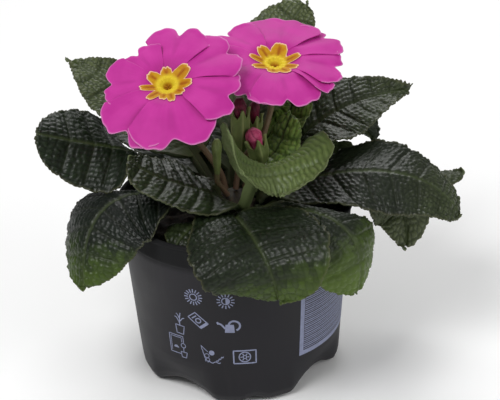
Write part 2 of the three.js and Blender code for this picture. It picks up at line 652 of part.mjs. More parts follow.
// The petals, joined to a dished disc with a hole for the corolla tube.
function petalsGeometry(bloom) {
  const hole = TUBE_RADIUS + CLEARANCE;
  const rim = faceHeight(DISC_RADIUS);
  const disc = [
    [0, -FUNNEL_DEPTH - DISC_THICKNESS],
    [DISC_RADIUS, rim - DISC_THICKNESS],
    [DISC_RADIUS, rim - DISC_SINK],
    [0, -FUNNEL_DEPTH - DISC_SINK],
  ];
  const drill = new THREE.CylinderGeometry(hole, hole, 4 * FUNNEL_DEPTH, 12).rotateX(Math.PI / 2);
  let petals = solidOf(turnedGeometry(disc, 16, ([radius, height], angle) => turn(radius, height, angle)));
  petals = petals.subtract(solidOf(drill));
  bloom.petals.forEach((petal, i) => {
    petals = petals.add(solidOf(petalGeometry(petal, i)));
  });
  return set(geometryOf(petals), bloom.at, facing(bloom.faces));
}

// Radius of the star's edge at an angle about the throat: its lobes stand out from a round root.
function starReach(bloom, angle) {
  const lobes = bloom.star.map(([middle, reach, halfWidth]) => {
    const off = angle - rad(middle);
    const share = Math.atan2(Math.sin(off), Math.cos(off)) / rad(halfWidth);
    return (reach - EYE_ROOT) * Math.exp(-(share ** 4));
  });
  return EYE_ROOT + Math.max(...lobes);
}

// The yellow eye: a lobed star on the funnel of the petals, a raised ring round the throat, and the
// corolla tube below. The profile gives radius and height over the face, and 1 for the star's edge.
function eyeGeometry(bloom) {
  const floor = -FUNNEL_DEPTH - TUBE_LENGTH;
  const plate = CLEARANCE + EYE_THICKNESS;
  const ring = CLEARANCE + THROAT_HEIGHT;
  const profile = [
    [0, floor - faceHeight(0), 0],
    [TUBE_RADIUS, floor - faceHeight(TUBE_RADIUS), 0],
    [TUBE_RADIUS, CLEARANCE, 0],
    [0, CLEARANCE, 1],
    [0, plate, 1],
    [THROAT_RADIUS + 0.6, plate + 0.2, 0],
    [THROAT_RADIUS, ring, 0],
    [THROAT_RADIUS - 0.9, ring, 0],
    [TUBE_RADIUS - 0.2, 0, 0],
    [0, 0, 0],
  ];
  const place = ([radius, height, lobed], angle) => {
    const reach = lobed ? starReach(bloom, angle) : radius;
    return turn(reach, height + faceHeight(reach), angle);
  };
  const star = turnedGeometry(profile, EYE_SEGMENTS, place, rad(bloom.star[0][0]));
  return set(star, bloom.at, facing(bloom.faces));
}

// A ribbed calyx cup about +Z with its foot at the origin, five-angled, with a notched rim.
function calyxGeometry(radius, length, room) {
  const profile = [
    [0, 0, 0],
    [radius * 0.45, 0.2, 0],
    [radius * 0.85, length * 0.22, 1],
    [radius, length * 0.6, 1],
    [radius * 1.02, length, 1],
    [room, length - 0.2, 0],
    [room, length * 0.3, 0],
    [room * 0.6, length * 0.16, 0],
    [0, length * 0.16, 0],
  ];
  return turnedGeometry(profile, 15, ([r, height, ribbed], angle) => {
    const rib = Math.cos(5 * angle);
    const tooth = height > length * 0.9 ? 1.1 * (rib - 0.4) * ribbed : 0;
    return turn(r * (1 + 0.09 * rib * ribbed), height + tooth, angle);
  });
}

function bloomStemGeometry(bloom) {
  const drop = FUNNEL_DEPTH + TUBE_LENGTH + CALYX_DROP;
  const calyxFoot = along(bloom.at, bloom.faces, -drop).toArray();
  const neck = along(bloom.at, bloom.faces, -drop - NECK_DROP);
  const cup = calyxGeometry(CALYX_RADIUS, CALYX_LENGTH, TUBE_RADIUS + CLEARANCE);
  const calyx = set(cup, calyxFoot, facing(bloom.faces));
  const passes = bloom.bends.map((p) => new THREE.Vector3(...p));
  const inside = along(calyxFoot, bloom.faces, 1);
  const stalk = stalkSolid([foot(bloom.stands), ...passes, neck, inside], STALK_RADIUS);
  return geometryOf(solidOf(calyx).add(stalk));
}

// The buds. at is the foot of the calyx and points the way it grows. calyx and corolla give radius and
// length; a bud with no corolla is still closed and green. stands and bends guide its stalk.
const BUDS = [
  {
    name: "bud_front", at: [10.6, -1.5, 83.2], points: [-0.2, -0.05, 1],
    calyx: [3.8, 10], corolla: [3.2, 15],
    color: BUD_PINK, stands: [3.8, -1.6], bends: [7.6, -1.9, 77],
  },
  {
    name: "bud_back", at: [8.4, 7.2, 91.5], points: [0.05, 0, 1], calyx: [2.8, 7], corolla: [2.1, 13.5],
    color: BUD_WINE, stands: [0.6, 4.2], bends: [3.8, 7.6, 81],
  },
  {
    name: "bud_middle", at: [2.6, 2.1, 86.5], points: [0.03, 0, 1], calyx: [3.4, 17], corolla: [2.8, 22.5],
    color: BUD_WINE, stands: [0.6, -0.4], bends: [1.6, 0.8, 79],
  },
  {
    name: "bud_green", at: [-6.2, -6, 82], points: [0.03, -0.02, 1], calyx: [2, 14.5],
    stands: [-2.6, -3.6], bends: [-4.8, -5.2, 76],
  },
];

// A furled corolla about +Z, or a closed green bud, with its foot at the origin.
function spindleGeometry(radius, length, pleat) {
  const profile = [
    [0, 0],
    [radius * 0.5, 0.2],
    [radius * 0.72, length * 0.3],
    [radius * 0.8, length * 0.6],
    [radius, length * 0.76],
    [radius * 0.8, length * 0.92],
    [0, length],
  ];
  return turnedGeometry(profile, 15, ([r, height], angle) => {
    return turn(r * (1 + pleat * Math.cos(5 * angle + height * 0.25)), height, angle);
  });
}

function budStem(bud, head) {
  const base = foot(bud.stands);
  const up = along(bud.at, bud.points, -3);
  const inside = along(bud.at, bud.points, 0.8);
  const stalk = stalkSolid([base, new THREE.Vector3(...bud.bends), up, inside], BUD_STALK_RADIUS);
  return geometryOf(solidOf(head).add(stalk));
}

// ---- The plant ----------------------------------------------------------------------------------

const meshes = [];
function add(name, geometry, material) {
  const mesh = new THREE.Mesh(geometry, material);
  mesh.name = name;
  meshes.push(mesh);
}

add("pot", potGeometry(), POT_PLASTIC);
add("soil", soilGeometry(), SOIL);
add("crown", crownGeometry(), CROWN_BROWN);
for (const leaf of LEAVES) add(leaf.name, leafGeometry(leaf), leaf.young ? LEAF_YOUNG : LEAF_DARK);
for (const bloom of BLOOMS) {
  add(`${bloom.name}_petals`, petalsGeometry(bloom), PETAL_PINK);
  add(`${bloom.name}_eye`, eyeGeometry(bloom), EYE_YELLOW);
  add(`${bloom.name}_stem`, bloomStemGeometry(bloom), STEM_GREEN);
}
for (const bud of BUDS) {
  const [radius, length] = bud.calyx;
  if (!bud.corolla) {
    const head = set(spindleGeometry(radius, length, 0.06), bud.at, facing(bud.points));
    add(bud.name, budStem(bud, head), STEM_GREEN);
    continue;
  }
  const [petalRadius, petalLength] = bud.corolla;
  const cup = calyxGeometry(radius, length, petalRadius * 0.88 + CLEARANCE);
  const calyx = set(cup, bud.at, facing(bud.points));
  add(`${bud.name}_calyx`, budStem(bud, calyx), STEM_GREEN);
  const start = along(bud.at, bud.points, length * 0.16 + CLEARANCE).toArray();
  const furled = spindleGeometry(petalRadius, petalLength - length * 0.16, 0.05);
  add(`${bud.name}_petals`, set(furled, start, facing(bud.points)), bud.color);
}

const primrose = new THREE.Group();
primrose.add(...meshes);
export default primrose;
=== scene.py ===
import math

import bpy
import numpy as np
from bpy.props import FloatProperty, FloatVectorProperty, IntProperty, PointerProperty
from bpy.types import Operator, Panel, PropertyGroup
from mathutils import Matrix


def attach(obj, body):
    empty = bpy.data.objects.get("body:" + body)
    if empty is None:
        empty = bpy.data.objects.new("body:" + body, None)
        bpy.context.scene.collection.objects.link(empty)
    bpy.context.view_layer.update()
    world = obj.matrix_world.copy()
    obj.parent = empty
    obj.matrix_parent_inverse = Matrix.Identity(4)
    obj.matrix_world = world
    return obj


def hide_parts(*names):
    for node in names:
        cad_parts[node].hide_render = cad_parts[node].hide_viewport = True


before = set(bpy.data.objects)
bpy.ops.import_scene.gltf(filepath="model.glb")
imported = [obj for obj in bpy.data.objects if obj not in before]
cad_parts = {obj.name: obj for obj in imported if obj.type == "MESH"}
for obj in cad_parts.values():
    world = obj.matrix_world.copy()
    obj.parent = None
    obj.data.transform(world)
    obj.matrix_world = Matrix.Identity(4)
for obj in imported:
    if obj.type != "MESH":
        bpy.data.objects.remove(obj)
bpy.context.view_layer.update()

bl_info = {
    "name": "Potted primrose",
    "version": (1, 0, 0),
    "blender": (4, 5, 0),
    "location": "3D View > Sidebar > Primrose",
    "description": "Builds the fine pot, soil, leaves, blooms and buds of a potted primrose",
    "category": "Object",
}

# Lengths are millimetres until a mesh is made. Those of settings, materials and the stage are metres.
MM = 0.001
CLEARANCE = 0.35
ROOT_CLEARANCE = 0.7
# Points round each kind of piece.
POT_ROUND, DRILL_ROUND, SOIL_ROUND, CROWN_ROUND, DISC_ROUND = 288, 32, 240, 96, 64
EYE_ROUND, CALYX_ROUND, STALK_ROUND, FURLED_ROUND = 320, 120, 24, 80


# ---- Numbers ------------------------------------------------------------------------------------

def smooth(x, low, high):
    """0 below low and 1 above high, with the cubic 3t^2 - 2t^3 between."""
    t = np.clip((x - low) / (high - low), 0.0, 1.0)
    return t * t * (3.0 - 2.0 * t)


def mix(a, b, share):
    return a + (b - a) * share


def bell(x, width):
    """The bell curve exp(-(x / width)^2)."""
    return np.exp(-((x / width) ** 2))


def unit(v):
    return v / np.maximum(np.linalg.norm(v, axis=-1, keepdims=True), 1e-9)


def round_turn(count):
    """As many even steps round one turn, without the last, which is the first again."""
    return np.linspace(0, 2 * math.pi, count + 1)[:-1]


def turned_point(radius, height, angle):
    """The point at a radius, a height and an angle about Z, for whole arrays."""
    radius, height, angle = np.broadcast_arrays(radius, height, angle)
    return np.stack([radius * np.cos(angle), radius * np.sin(angle), height], axis=-1)


def lot(i, j, salt):
    """A fixed number from 0 to 1 for each pair of whole numbers: the broken part of a large sine."""
    n = np.sin(i * 12.9898 + j * 78.233 + salt * 37.719) * 43758.5453
    return n - np.floor(n)


def cells(x, y, salt):
    """Cells about points jittered in unit squares: the distances to the nearest and second nearest
    point, and the nearest point's own number."""
    column, row = np.floor(x), np.floor(y)
    first = np.full(x.shape, 9.0)
    second = first.copy()
    own = np.zeros(x.shape)
    for dx in (-1, 0, 1):
        for dy in (-1, 0, 1):
            i, j = column + dx, row + dy
            px = i + 0.5 + 0.75 * (lot(i, j, salt) - 0.5)
            py = j + 0.5 + 0.75 * (lot(i, j, salt + 5) - 0.5)
            away = np.hypot(px - x, py - y)
            closer = away < first
            second = np.where(closer, first, np.minimum(second, away))
            own = np.where(closer, lot(i, j, salt + 9), own)
            first = np.minimum(first, away)
    return first, second, own


def facing(axis):
    """The 3 x 3 turn that lays +Z along axis by the shortest way."""
    x, y, z = unit(np.array(axis, float))
    k = 1.0 / (1.0 + z)
    return np.array([[1 - k * x * x, -k * x * y, x], [-k * x * y, 1 - k * y * y, y], [-x, -y, z]])


def placed(surface, place, axis):
    """A surface built about +Z, turned to face along axis and moved to place."""
    points, *rest = surface
    return (points @ facing(axis).T + np.array(place, float), *rest)


def curve_through(points, count):
    """A smooth curve through points: on each stretch the cubic whose slopes come from the roots of
    the chord lengths, sampled evenly in its parameter."""
    p = np.array(points, float)
    p = np.vstack([2 * p[0] - p[1], p, 2 * p[-1] - p[-2]])
    stretches = len(p) - 3
    u = np.linspace(0, stretches, count)
    k = np.minimum(u.astype(int), stretches - 1)
    t = (u - k)[:, None]
    gaps = np.sqrt(np.linalg.norm(np.diff(p, axis=0), axis=1))[:, None]
    a, b, c, d = p[k], p[k + 1], p[k + 2], p[k + 3]
    g0, g1, g2 = gaps[k], gaps[k + 1], gaps[k + 2]
    start = g1 * ((b - a) / g0 - (c - a) / (g0 + g1) + (c - b) / g1)
    end = g1 * ((c - b) / g1 - (d - b) / (g1 + g2) + (d - c) / g2)
    return b + t * start + t * t * (3 * (c - b) - 2 * start - end) + t**3 * (2 * (b - c) + start + end)


# ---- Meshes -------------------------------------------------------------------------------------

def skin(rings, start, end, marks=None, turned=False):
    """A closed surface from rings of points. Rings run along the piece and the points of a ring go
    round it, the other way when turned. An end is closed by a fan to its pole or, where the pole is
    None, by a strip between the two halves of its ring. marks are numbers for each point."""
    count, around = rings.shape[:2]
    index = np.arange(count * around).reshape(count, around)
    after = np.roll(index, -1, axis=1)
    points = rings.reshape(-1, 3)
    quads = [np.stack([index[:-1], index[1:], after[1:], after[:-1]], axis=-1).reshape(-1, 4)]
    triangles = [np.zeros((0, 3), int)]
    values = {
        name: np.broadcast_to(mark, (count, around)).ravel()
        for name, mark in (marks or {}).items()
    }
    for pole, row, way in ((start, 0, 1), (end, -1, -1)):
        if pole is None:
            one, other = index[row, :around // 2], index[row, ::-1][:around // 2]
            strip = np.stack([one[:-1], other[:-1], other[1:], one[1:]], axis=-1)
            quads.append(strip[:, ::-way])
        else:
            fan = np.stack([np.full(around, len(points)), index[row], after[row]], axis=-1)
            triangles.append(fan[:, ::way])
            points = np.vstack([points, pole])
            values = {
                name: np.append(mark, mark[index[row]].mean()) for name, mark in values.items()
            }
    quads, triangles = np.concatenate(quads), np.concatenate(triangles)
    if turned:
        quads, triangles = quads[:, ::-1], triangles[:, ::-1]
    return points, quads, triangles, values


def hairs(roots, ways, long, thickness):
    """Short hairs: three-sided cones from roots along ways, each closed by its base."""
    side = unit(np.cross(ways, [0.31, 0.77, 0.56]))
    other = np.cross(ways, side)
    ring = [
        roots + thickness * (math.cos(a) * side + math.sin(a) * other)
        for a in round_turn(3)
    ]
    points = np.stack([*ring, roots + long * ways], axis=1).reshape(-1, 3)
    base = 4 * np.arange(len(roots))[:, None]
    faces = np.array([[0, 2, 1], [0, 1, 3], [1, 2, 3], [2, 0, 3]])
    triangles = (base[:, None] + faces).reshape(-1, 3)
    return points, np.zeros((0, 4), int), triangles, {"hair": np.ones(len(points))}


def mesh_of(name, parts, shade=True):
    """One mesh from several surfaces. A mark that a surface lacks is 0 on it."""
    points = np.concatenate([part[0] for part in parts]) * MM
    starts = np.cumsum([0] + [len(part[0]) for part in parts[:-1]])
    quads = np.concatenate([part[1] + at for part, at in zip(parts, starts)])
    triangles = np.concatenate([part[2] + at for part, at in zip(parts, starts)])
    corners = np.concatenate([quads.ravel(), triangles.ravel()])
    sizes = np.concatenate([np.full(len(quads), 4), np.full(len(triangles), 3)])
    mesh = bpy.data.meshes.new(name)
    mesh.vertices.add(len(points))
    mesh.vertices.foreach_set("co", points.ravel())
    mesh.loops.add(len(corners))
    mesh.loops.foreach_set("vertex_index", corners)
    mesh.polygons.add(len(sizes))
    mesh.polygons.foreach_set("loop_start", np.cumsum(sizes) - sizes)
    mesh.polygons.foreach_set("loop_total", sizes)
    mesh.polygons.foreach_set("use_smooth", np.full(len(sizes), shade))
    for mark in sorted({key for part in parts for key in part[3]}):
        values = [part[3].get(mark, np.zeros(len(part[0]))) for part in parts]
        attribute = mesh.attributes.new(mark, "FLOAT", "POINT")
        attribute.data.foreach_set("value", np.concatenate(values).astype(np.float32))
    mesh.update(calc_edges=True)
    mesh.validate()
    return mesh


def add_piece(name, parts, material, slot, *nodes, shade=True):
    """Makes a piece that stands for CAD nodes, rides on the part's one body and wears a material."""
    if not parts:
        raise RuntimeError(f"{name} has no surface")
    piece = bpy.data.objects.new(name, mesh_of(name, parts, shade))
    piece.data.materials.append(material)
    bpy.context.scene.collection.objects.link(piece)
    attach(piece, "root")
    if nodes:
        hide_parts(*nodes)
    return piece


# ---- Materials ----------------------------------------------------------------------------------

def tint(red, green, blue):
    """A colour given as on a screen, 0 to 255, as the light it stands for."""
    value = np.array([red, green, blue]) / 255.0
    light = np.where(value <= 0.04045, value / 12.92, ((value + 0.055) / 1.055) ** 2.4)
    return (*[float(v) for v in light], 1.0)


def dimmed(colour, share):
    """A colour whose light is taken down to a share."""
    return (*[share * c for c in colour[:3]], 1.0)


class Wiring:
    """Places nodes in a node tree and links them by socket name or number."""

    def __init__(self, tree):
        self.tree = tree

    def node(self, kind, inputs=None, **settings):
        node = self.tree.nodes.new(kind)
        for key, value in settings.items():
            setattr(node, key, value)
        for key, value in (inputs or {}).items():
            if isinstance(value, bpy.types.NodeSocket):
                self.tree.links.new(value, node.inputs[key])
            else:
                node.inputs[key].default_value = value
        return node

    def mark(self, name):
        return self.node("ShaderNodeAttribute", attribute_name=name).outputs["Fac"]

    def math(self, operation, a, b=0.0, clamp=False):
        node = self.node("ShaderNodeMath", {0: a, 1: b}, operation=operation, use_clamp=clamp)
        return node.outputs[0]

    def blend(self, share, low, high, kind="MIX"):
        node = self.node("ShaderNodeMix", data_type="RGBA", blend_type=kind)
        for socket, value in (("Factor_Float", share), ("A_Color", low), ("B_Color", high)):
            target = next(s for s in node.inputs if s.identifier == socket)
            if isinstance(value, bpy.types.NodeSocket):
                self.tree.links.new(value, target)
            else:
                target.default_value = value
        return next(s for s in node.outputs if s.identifier == "Result_Color")

    def layers(self, base, *rows):
        """Colours laid over base in turn. A row is the mark it follows, the mark's share, the colour."""
        for name, share, colour in rows:
            base = self.blend(self.math("MULTIPLY", self.mark(name), share), base, colour)
        return base

    def between(self, value, low, high, to_low=0.0, to_high=1.0):
        limits = {"From Min": low, "From Max": high, "To Min": to_low, "To Max": to_high}
        return self.node("ShaderNodeMapRange", {"Value": value, **limits}).outputs["Result"]


def new_group(name, inputs, outputs):
    """A new node group with its sockets. Gives the wiring in it, what comes in, the point's place and
    the scale that belongs to the given size."""
    tree = bpy.data.node_groups.new(name, "ShaderNodeTree")
    for label, default in inputs.items():
        kind = "NodeSocketColor" if isinstance(default, tuple) else "NodeSocketFloat"
        socket = tree.interface.new_socket(label, in_out="INPUT", socket_type=kind)
        socket.default_value = default
    for label, kind in outputs.items():
        tree.interface.new_socket(label, in_out="OUTPUT", socket_type=kind)
    w = Wiring(tree)
    given = w.node("NodeGroupInput").outputs
    where = w.node("ShaderNodeTexCoord").outputs["Object"]
    return w, given, where, w.math("DIVIDE", 1.0, given["Size"])


def mottle_group():
    """Soft clouds of one colour over another, and the clouds' own height for roughness or bump."""
    group = bpy.data.node_groups.get("soft_mottle")
    if group:
        return group
    w, given, where, scale = new_group(
        "soft_mottle",
        {"Low": (0.0, 0.0, 0.0, 1.0), "High": (1.0, 1.0, 1.0, 1.0), "Size": 0.01, "Detail": 3.0},
        {"Color": "NodeSocketColor", "Cloud": "NodeSocketFloat"},
    )
    pattern = {"Vector": where, "Scale": scale, "Detail": given["Detail"]}
    noise = w.node("ShaderNodeTexNoise", pattern)
    cloud = w.between(noise.outputs["Fac"], 0.35, 0.65)
    mixed = w.blend(cloud, given["Low"], given["High"])
    w.node("NodeGroupOutput", {"Color": mixed, "Cloud": cloud})
    return w.tree


def grain_group():
    """A height made of fine clouds and finer cells, for the bump of skins and soil."""
    group = bpy.data.node_groups.get("fine_grain")
    if group:
        return group
    inputs = {"Size": 0.001, "Cells": 0.5}
    w, given, where, scale = new_group("fine_grain", inputs, {"Height": "NodeSocketFloat"})
    noise = w.node("ShaderNodeTexNoise", {"Vector": where, "Scale": scale, "Detail": 4.0})
    crumbs = w.node("ShaderNodeTexVoronoi", {"Vector": where, "Scale": scale}, feature="F1")
    parts = {0: given["Cells"], 2: noise.outputs["Fac"], 3: crumbs.outputs["Distance"]}
    w.node("NodeGroupOutput", {"Height": w.node("ShaderNodeMix", parts).outputs[0]})
    return w.tree


def mottled(w, low, high, size, detail=3.0):
    """The clouds' node: its Color runs from low to high, and its Cloud from 0 to 1."""
    node = w.node("ShaderNodeGroup", node_tree=mottle_group())
    for key, value in (("Low", low), ("High", high), ("Size", size), ("Detail", detail)):
        node.inputs[key].default_value = value
    return node.outputs


def finish(name, build, grain=None, **fixed):
    """A material: build gets the wiring and gives the colour and, where it isn't fixed, the roughness.
    grain is the size, the share of cells, the strength and the depth of the bump. Fixed values go
    straight to the shader's own sockets."""
    material = bpy.data.materials.get(name)
    if material:
        return material
    material = bpy.data.materials.new(name)
    material.use_nodes = True
    material.node_tree.nodes.clear()
    w = Wiring(material.node_tree)
    values = {key.replace("_", " "): value for key, value in fixed.items()}
    shader = w.node("ShaderNodeBsdfPrincipled", values)
    w.node("ShaderNodeOutputMaterial", {"Surface": shader.outputs["BSDF"]})
    for key, socket in zip(("Base Color", "Roughness"), build(w)):
        w.tree.links.new(socket, shader.inputs[key])
    if grain:
        size, share, strength, depth = grain
        node = w.node("ShaderNodeGroup", node_tree=grain_group())
        node.inputs["Size"].default_value = size
        node.inputs["Cells"].default_value = share
        rise = {"Height": node.outputs["Height"], "Strength": strength, "Distance": depth}
        w.tree.links.new(w.node("ShaderNodeBump", rise).outputs["Normal"], shader.inputs["Normal"])
    return material


# ---- Settings -----------------------------------------------------------------------------------

def length(name, description, default):
    return FloatProperty(
        name=name, description=description, default=default, unit="LENGTH", precision=5
    )


def colour(name, description, default):
    return FloatVectorProperty(
        name=name, description=description, default=tint(*default), size=4, subtype="COLOR",
        min=0.0, max=1.0,
    )


class PotSettings(PropertyGroup):
    height: length("Height", "Height of the pot", 0.070)
    lip_radius: length("Lip radius", "Outer radius of the rolled lip", 0.0456)
    foot_radius: length("Foot radius", "Radius of the wall's cone at the ground", 0.0389)
    wall: length("Wall", "Thickness of the wall", 0.0009)
    plastic: colour("Plastic", "Colour of the pot", (27, 26, 31))
    ink: colour("Ink", "Colour of the print", (134, 140, 168))
    peat: colour("Peat", "Colour of the moist soil", (40, 31, 25))


class LeafSettings(PropertyGroup):
    step: length("Step", "Distance between the points of a leaf's surface", 0.0006)
    blister: length("Blister size", "Width of the blisters between the veins", 0.002)
    blister_height: length("Blister height", "How far a blister stands over its border", 0.0005)
    tooth: length("Tooth length", "Distance between the teeth of the margin", 0.0021)
    tooth_depth: length("Tooth depth", "How far a tooth stands out", 0.0005)
    dark: colour("Grown leaf", "Colour of a grown leaf", (32, 45, 24))
    young: colour("Young leaf", "Colour of the leaves at the heart", (134, 166, 78))
    olive: colour("Olive", "Colour that the paler leaves turn to", (95, 104, 67))
    tip: colour("Leaf tip", "Yellow green that some leaves have at the tip", (88, 112, 36))


class BloomSettings(PropertyGroup):
    petal: colour("Petal", "Colour of the petals", (178, 38, 138))
    eye: colour("Eye", "Colour of the star in the middle", (194, 148, 22))
    stalk: colour("Stalk", "Colour of stalks and calyces", (120, 136, 76))
    rows: IntProperty(name="Rows", description="Points along a petal", default=44, min=8)


class StageSettings(PropertyGroup):
    focal: FloatProperty(
        name="Focal length", description="Of the camera", default=112.7, subtype="DISTANCE_CAMERA"
    )
    elevation: FloatProperty(
        name="Elevation", description="How far the camera looks down",
        default=math.radians(26), subtype="ANGLE",
    )
    tilt: FloatProperty(
        name="Tilt", description="How far the camera leans to one side",
        default=math.radians(-2.4), subtype="ANGLE",
    )
    distance: length("Distance", "From the camera to the middle of the pot's rim", 0.6)
    key: FloatProperty(
        name="Key light", description="Strength of the main light", default=8.5, subtype="POWER"
    )
    sky: FloatProperty(
        name="Sky", description="How strongly the white surroundings light the plant", default=0.3
    )


# ---- Pot ----------------------------------------------------------------------------------------

POT_TAPER = 0.08
COLLAR_DEPTH, COLLAR_STEP = 9.5, 0.35
LIP_DEPTH = 1.8
FEET = 4
ARCH_AT, ARCH_HALF_ANGLE, ARCH_LIFT, ARCH_RECESS, ARCH_FADE = -38, 22, 4.6, 2.6, 18
SLOT_HALF_ANGLE, SLOT_LIFT, GAP_ROUNDING = 7, 1.6, 0.012
# Over the arches: a height on the cone, the heights of the outer and the inner skin there, and how
# much of the arch's lift and recess is left.
ARCH_ROWS = (
    (4, 4.2, 4.6, 0.9, 1), (7.5, 7.5, 7.8, 0.55, 0.85), (11, 11, 11.2, 0.25, 0.6),
    (14.5, 14.5, 14.6, 0.08, 0.25),
)
PAD_RADIUS, FOOT_INNER, FOOT_OUTER, CHANNEL = 12, 30, 35.2, 2.6
DRAIN_HOLES, DRAIN_RADIUS, DRAIN_CIRCLE = 8, 3, 21


def gap(angle, middle, half_angle):
    """1 in the middle of an arch or slot that repeats once a foot, falling as a parabola to 0 at its
    half angle, with the corner there rounded."""
    off = np.arcsin(np.sin((FEET / 2) * (angle - math.radians(middle)))) / (FEET / 2)
    fall = 1 - (off / math.radians(half_angle)) ** 2
    rounded_fall = 0.5 * (fall + np.sqrt(fall**2 + GAP_ROUNDING))
    return np.where(fall > -1.5, rounded_fall - 0.25 * GAP_ROUNDING / np.maximum(0.3, -fall), 0)


def wall_radius(pot, height):
    return pot.foot_radius / MM + POT_TAPER * height


def rounded(profile, radius, cuts=4):
    """A profile with each corner replaced by a short parabola. It starts and ends radius from the
    corner, or 0.45 of the way to the next one where that is nearer."""
    p = np.array(profile, float)
    out = [p[:1]]
    for before, corner, after in zip(p[:-2], p[1:-1], p[2:]):
        ends = []
        for way in (before - corner, after - corner):
            far = math.hypot(*way[:2])
            ends.append(corner + way * min(radius, 0.45 * far) / max(1e-6, far))
        t = np.linspace(0, 1, cuts)[:, None]
        out.append((1 - t) ** 2 * ends[0] + 2 * t * (1 - t) * corner + t**2 * ends[1])
    return np.concatenate([*out, p[-1:]])


def pot_surface(pot):
    """The pot turned about Z from a closed profile of radius and height. The arches and slots lift
    the foot and draw the wall in by their share at each entry of the profile."""
    top = pot.height / MM
    lip, wall = pot.lip_radius / MM, pot.wall / MM
    collar_foot = top - COLLAR_DEPTH
    collar = wall_radius(pot, top) + COLLAR_STEP

    def cone(height, thinner=0.0):
        return wall_radius(pot, height) - thinner

    profile = [
        (0, 0, 0, 0), (PAD_RADIUS, 0, 0, 0), (PAD_RADIUS + 2.5, CHANNEL, 0, 0),
        (FOOT_INNER - 2.5, CHANNEL, 0, 0), (FOOT_INNER, 0, 1, 0.4), (FOOT_OUTER, 0, 1, 1),
        (cone(0, 0.9), 1.3, 1, 1),
        *[(cone(at), outside, *left) for at, outside, _, *left in ARCH_ROWS],
        *[(cone(at), at, 0, 0) for at in (ARCH_FADE, 30, 45, collar_foot - 0.5)],
        (cone(collar_foot) + COLLAR_STEP, collar_foot, 0, 0),
        (collar, top - LIP_DEPTH, 0, 0), (lip, top - LIP_DEPTH + 0.2, 0, 0), (lip, top - 0.3, 0, 0),
        (lip - 0.6, top, 0, 0), (collar - wall, top - 0.2, 0, 0),
        *[(cone(at, wall), at, 0, 0) for at in (collar_foot, ARCH_FADE)],
        *[(cone(at, wall), inside, *left) for at, _, inside, *left in reversed(ARCH_ROWS)],
        (cone(0, 1.9), 2, 1, 1), (FOOT_OUTER - 0.4, wall, 1, 1), (FOOT_INNER + 0.5, wall, 1, 0.4),
        (FOOT_INNER - 2.1, CHANNEL + wall, 0, 0), (PAD_RADIUS + 2.1, CHANNEL + wall, 0, 0),
        (PAD_RADIUS - 0.4, wall, 0, 0), (0, wall, 0, 0),
    ]
    lines = rounded(profile, 0.7)[1:-1, :, None]
    angle = round_turn(POT_ROUND) + math.radians(ARCH_AT)
    arch = gap(angle, ARCH_AT, ARCH_HALF_ANGLE)
    slot = gap(angle, ARCH_AT + 180 / FEET, SLOT_HALF_ANGLE)
    radius = lines[:, 0] - lines[:, 3] * ARCH_RECESS * arch
    height = lines[:, 1] + lines[:, 2] * (ARCH_LIFT * arch + SLOT_LIFT * slot)
    return skin(turned_point(radius, height, angle), [0, 0, 0], [0, 0, wall], turned=True)


def drain_drills():
    """Eight upright rods on a circle, which cut the drain holes."""
    rods = []
    for middle in turned_point(DRAIN_CIRCLE, 0.0, round_turn(DRAIN_HOLES)):
        ring = turned_point(DRAIN_RADIUS, 0.0, round_turn(DRILL_ROUND)) + middle
        low, high = middle - [0, 0, 1], middle + [0, 0, 7]
        rods.append(skin(np.stack([ring - [0, 0, 1], ring + [0, 0, 7]]), low, high, turned=True))
    return rods


def pot_finish(pot):
    def build(w):
        cloud = mottled(w, dimmed(pot.plastic, 0.72), tuple(pot.plastic), 0.022, 5.0)
        where = w.node("ShaderNodeTexCoord").outputs["Object"]
        scaled = {"Vector": where, "Scale": (300.0, 300.0, 14.0)}
        squash = w.node("ShaderNodeMapping", scaled).outputs[0]
        pattern = {"Vector": squash, "Scale": 1.0, "Detail": 3.0}
        streak = w.node("ShaderNodeTexNoise", pattern).outputs["Fac"]
        dust = w.between(streak, 0.55, 0.75, 0.0, 0.16)
        base = w.blend(dust, cloud["Color"], tint(50, 47, 49))
        high = w.node("ShaderNodeSeparateXYZ", {"Vector": where}).outputs["Z"]
        low_edge, high_edge = [pot.height - part * COLLAR_DEPTH * MM for part in (1.3, 0.9)]
        # Painted shade: from just under the collar up to the lip the plastic is darkened towards near-black,
        # standing in for the shadow the overhanging leaves cast there. The roughness rises there too.
        collar = w.between(high, low_edge, high_edge, 0.0, 0.9)
        base = w.blend(collar, base, tint(10, 11, 12))
        rough = w.between(cloud["Cloud"], 0.0, 1.0, 0.44, 0.56)
        return base, w.math("ADD", rough, w.math("MULTIPLY", collar, 0.4))

    grain = (0.0007, 0.3, 0.25, 0.00006)
    return finish("pot_plastic_moulded", build, grain, Specular_IOR_Level=0.28)


# ---- Print on the pot ---------------------------------------------------------------------------

# Care signs have millimetres of their own, x to the right and y up. A line is its points and a width.
PRINT_STEP, PRINT_MIDDLE = 0.7, 35.0
PRINT_OVER, PRINT_UNDER = 0.05, -0.03
# The panel's sides in degrees from the front, its foot and top in millimetres, and its border.
PANEL_LEFT, PANEL_RIGHT, PANEL_FOOT, PANEL_TOP, PANEL_BORDER = 33.0, 96.0, 17.6, 56.0, 1.9


def arc(x, y, radius, start=0, end=360, cuts=20):
    """Points on a circle about x and y, from a start to an end in degrees."""
    angle = np.radians(np.linspace(start, end, cuts))
    return np.stack([x + radius * np.cos(angle), y + radius * np.sin(angle)], axis=-1)


def rays(count, inner, outer, width=0.42, start=90):
    """Short lines all round a middle, from an inner to an outer radius."""
    angles = 2 * math.pi * np.arange(count) / count + math.radians(start)
    return [(np.outer((inner, outer), (math.cos(a), math.sin(a))), width) for a in angles]


def wavy(start, end, height, waves):
    """A line from start to end whose height swings as a sine."""
    t = np.linspace(0, 1, 24)[:, None]
    line = mix(np.array(start, float), np.array(end, float), t)
    return line + height * np.sin(2 * math.pi * waves * t) * [0, 1]


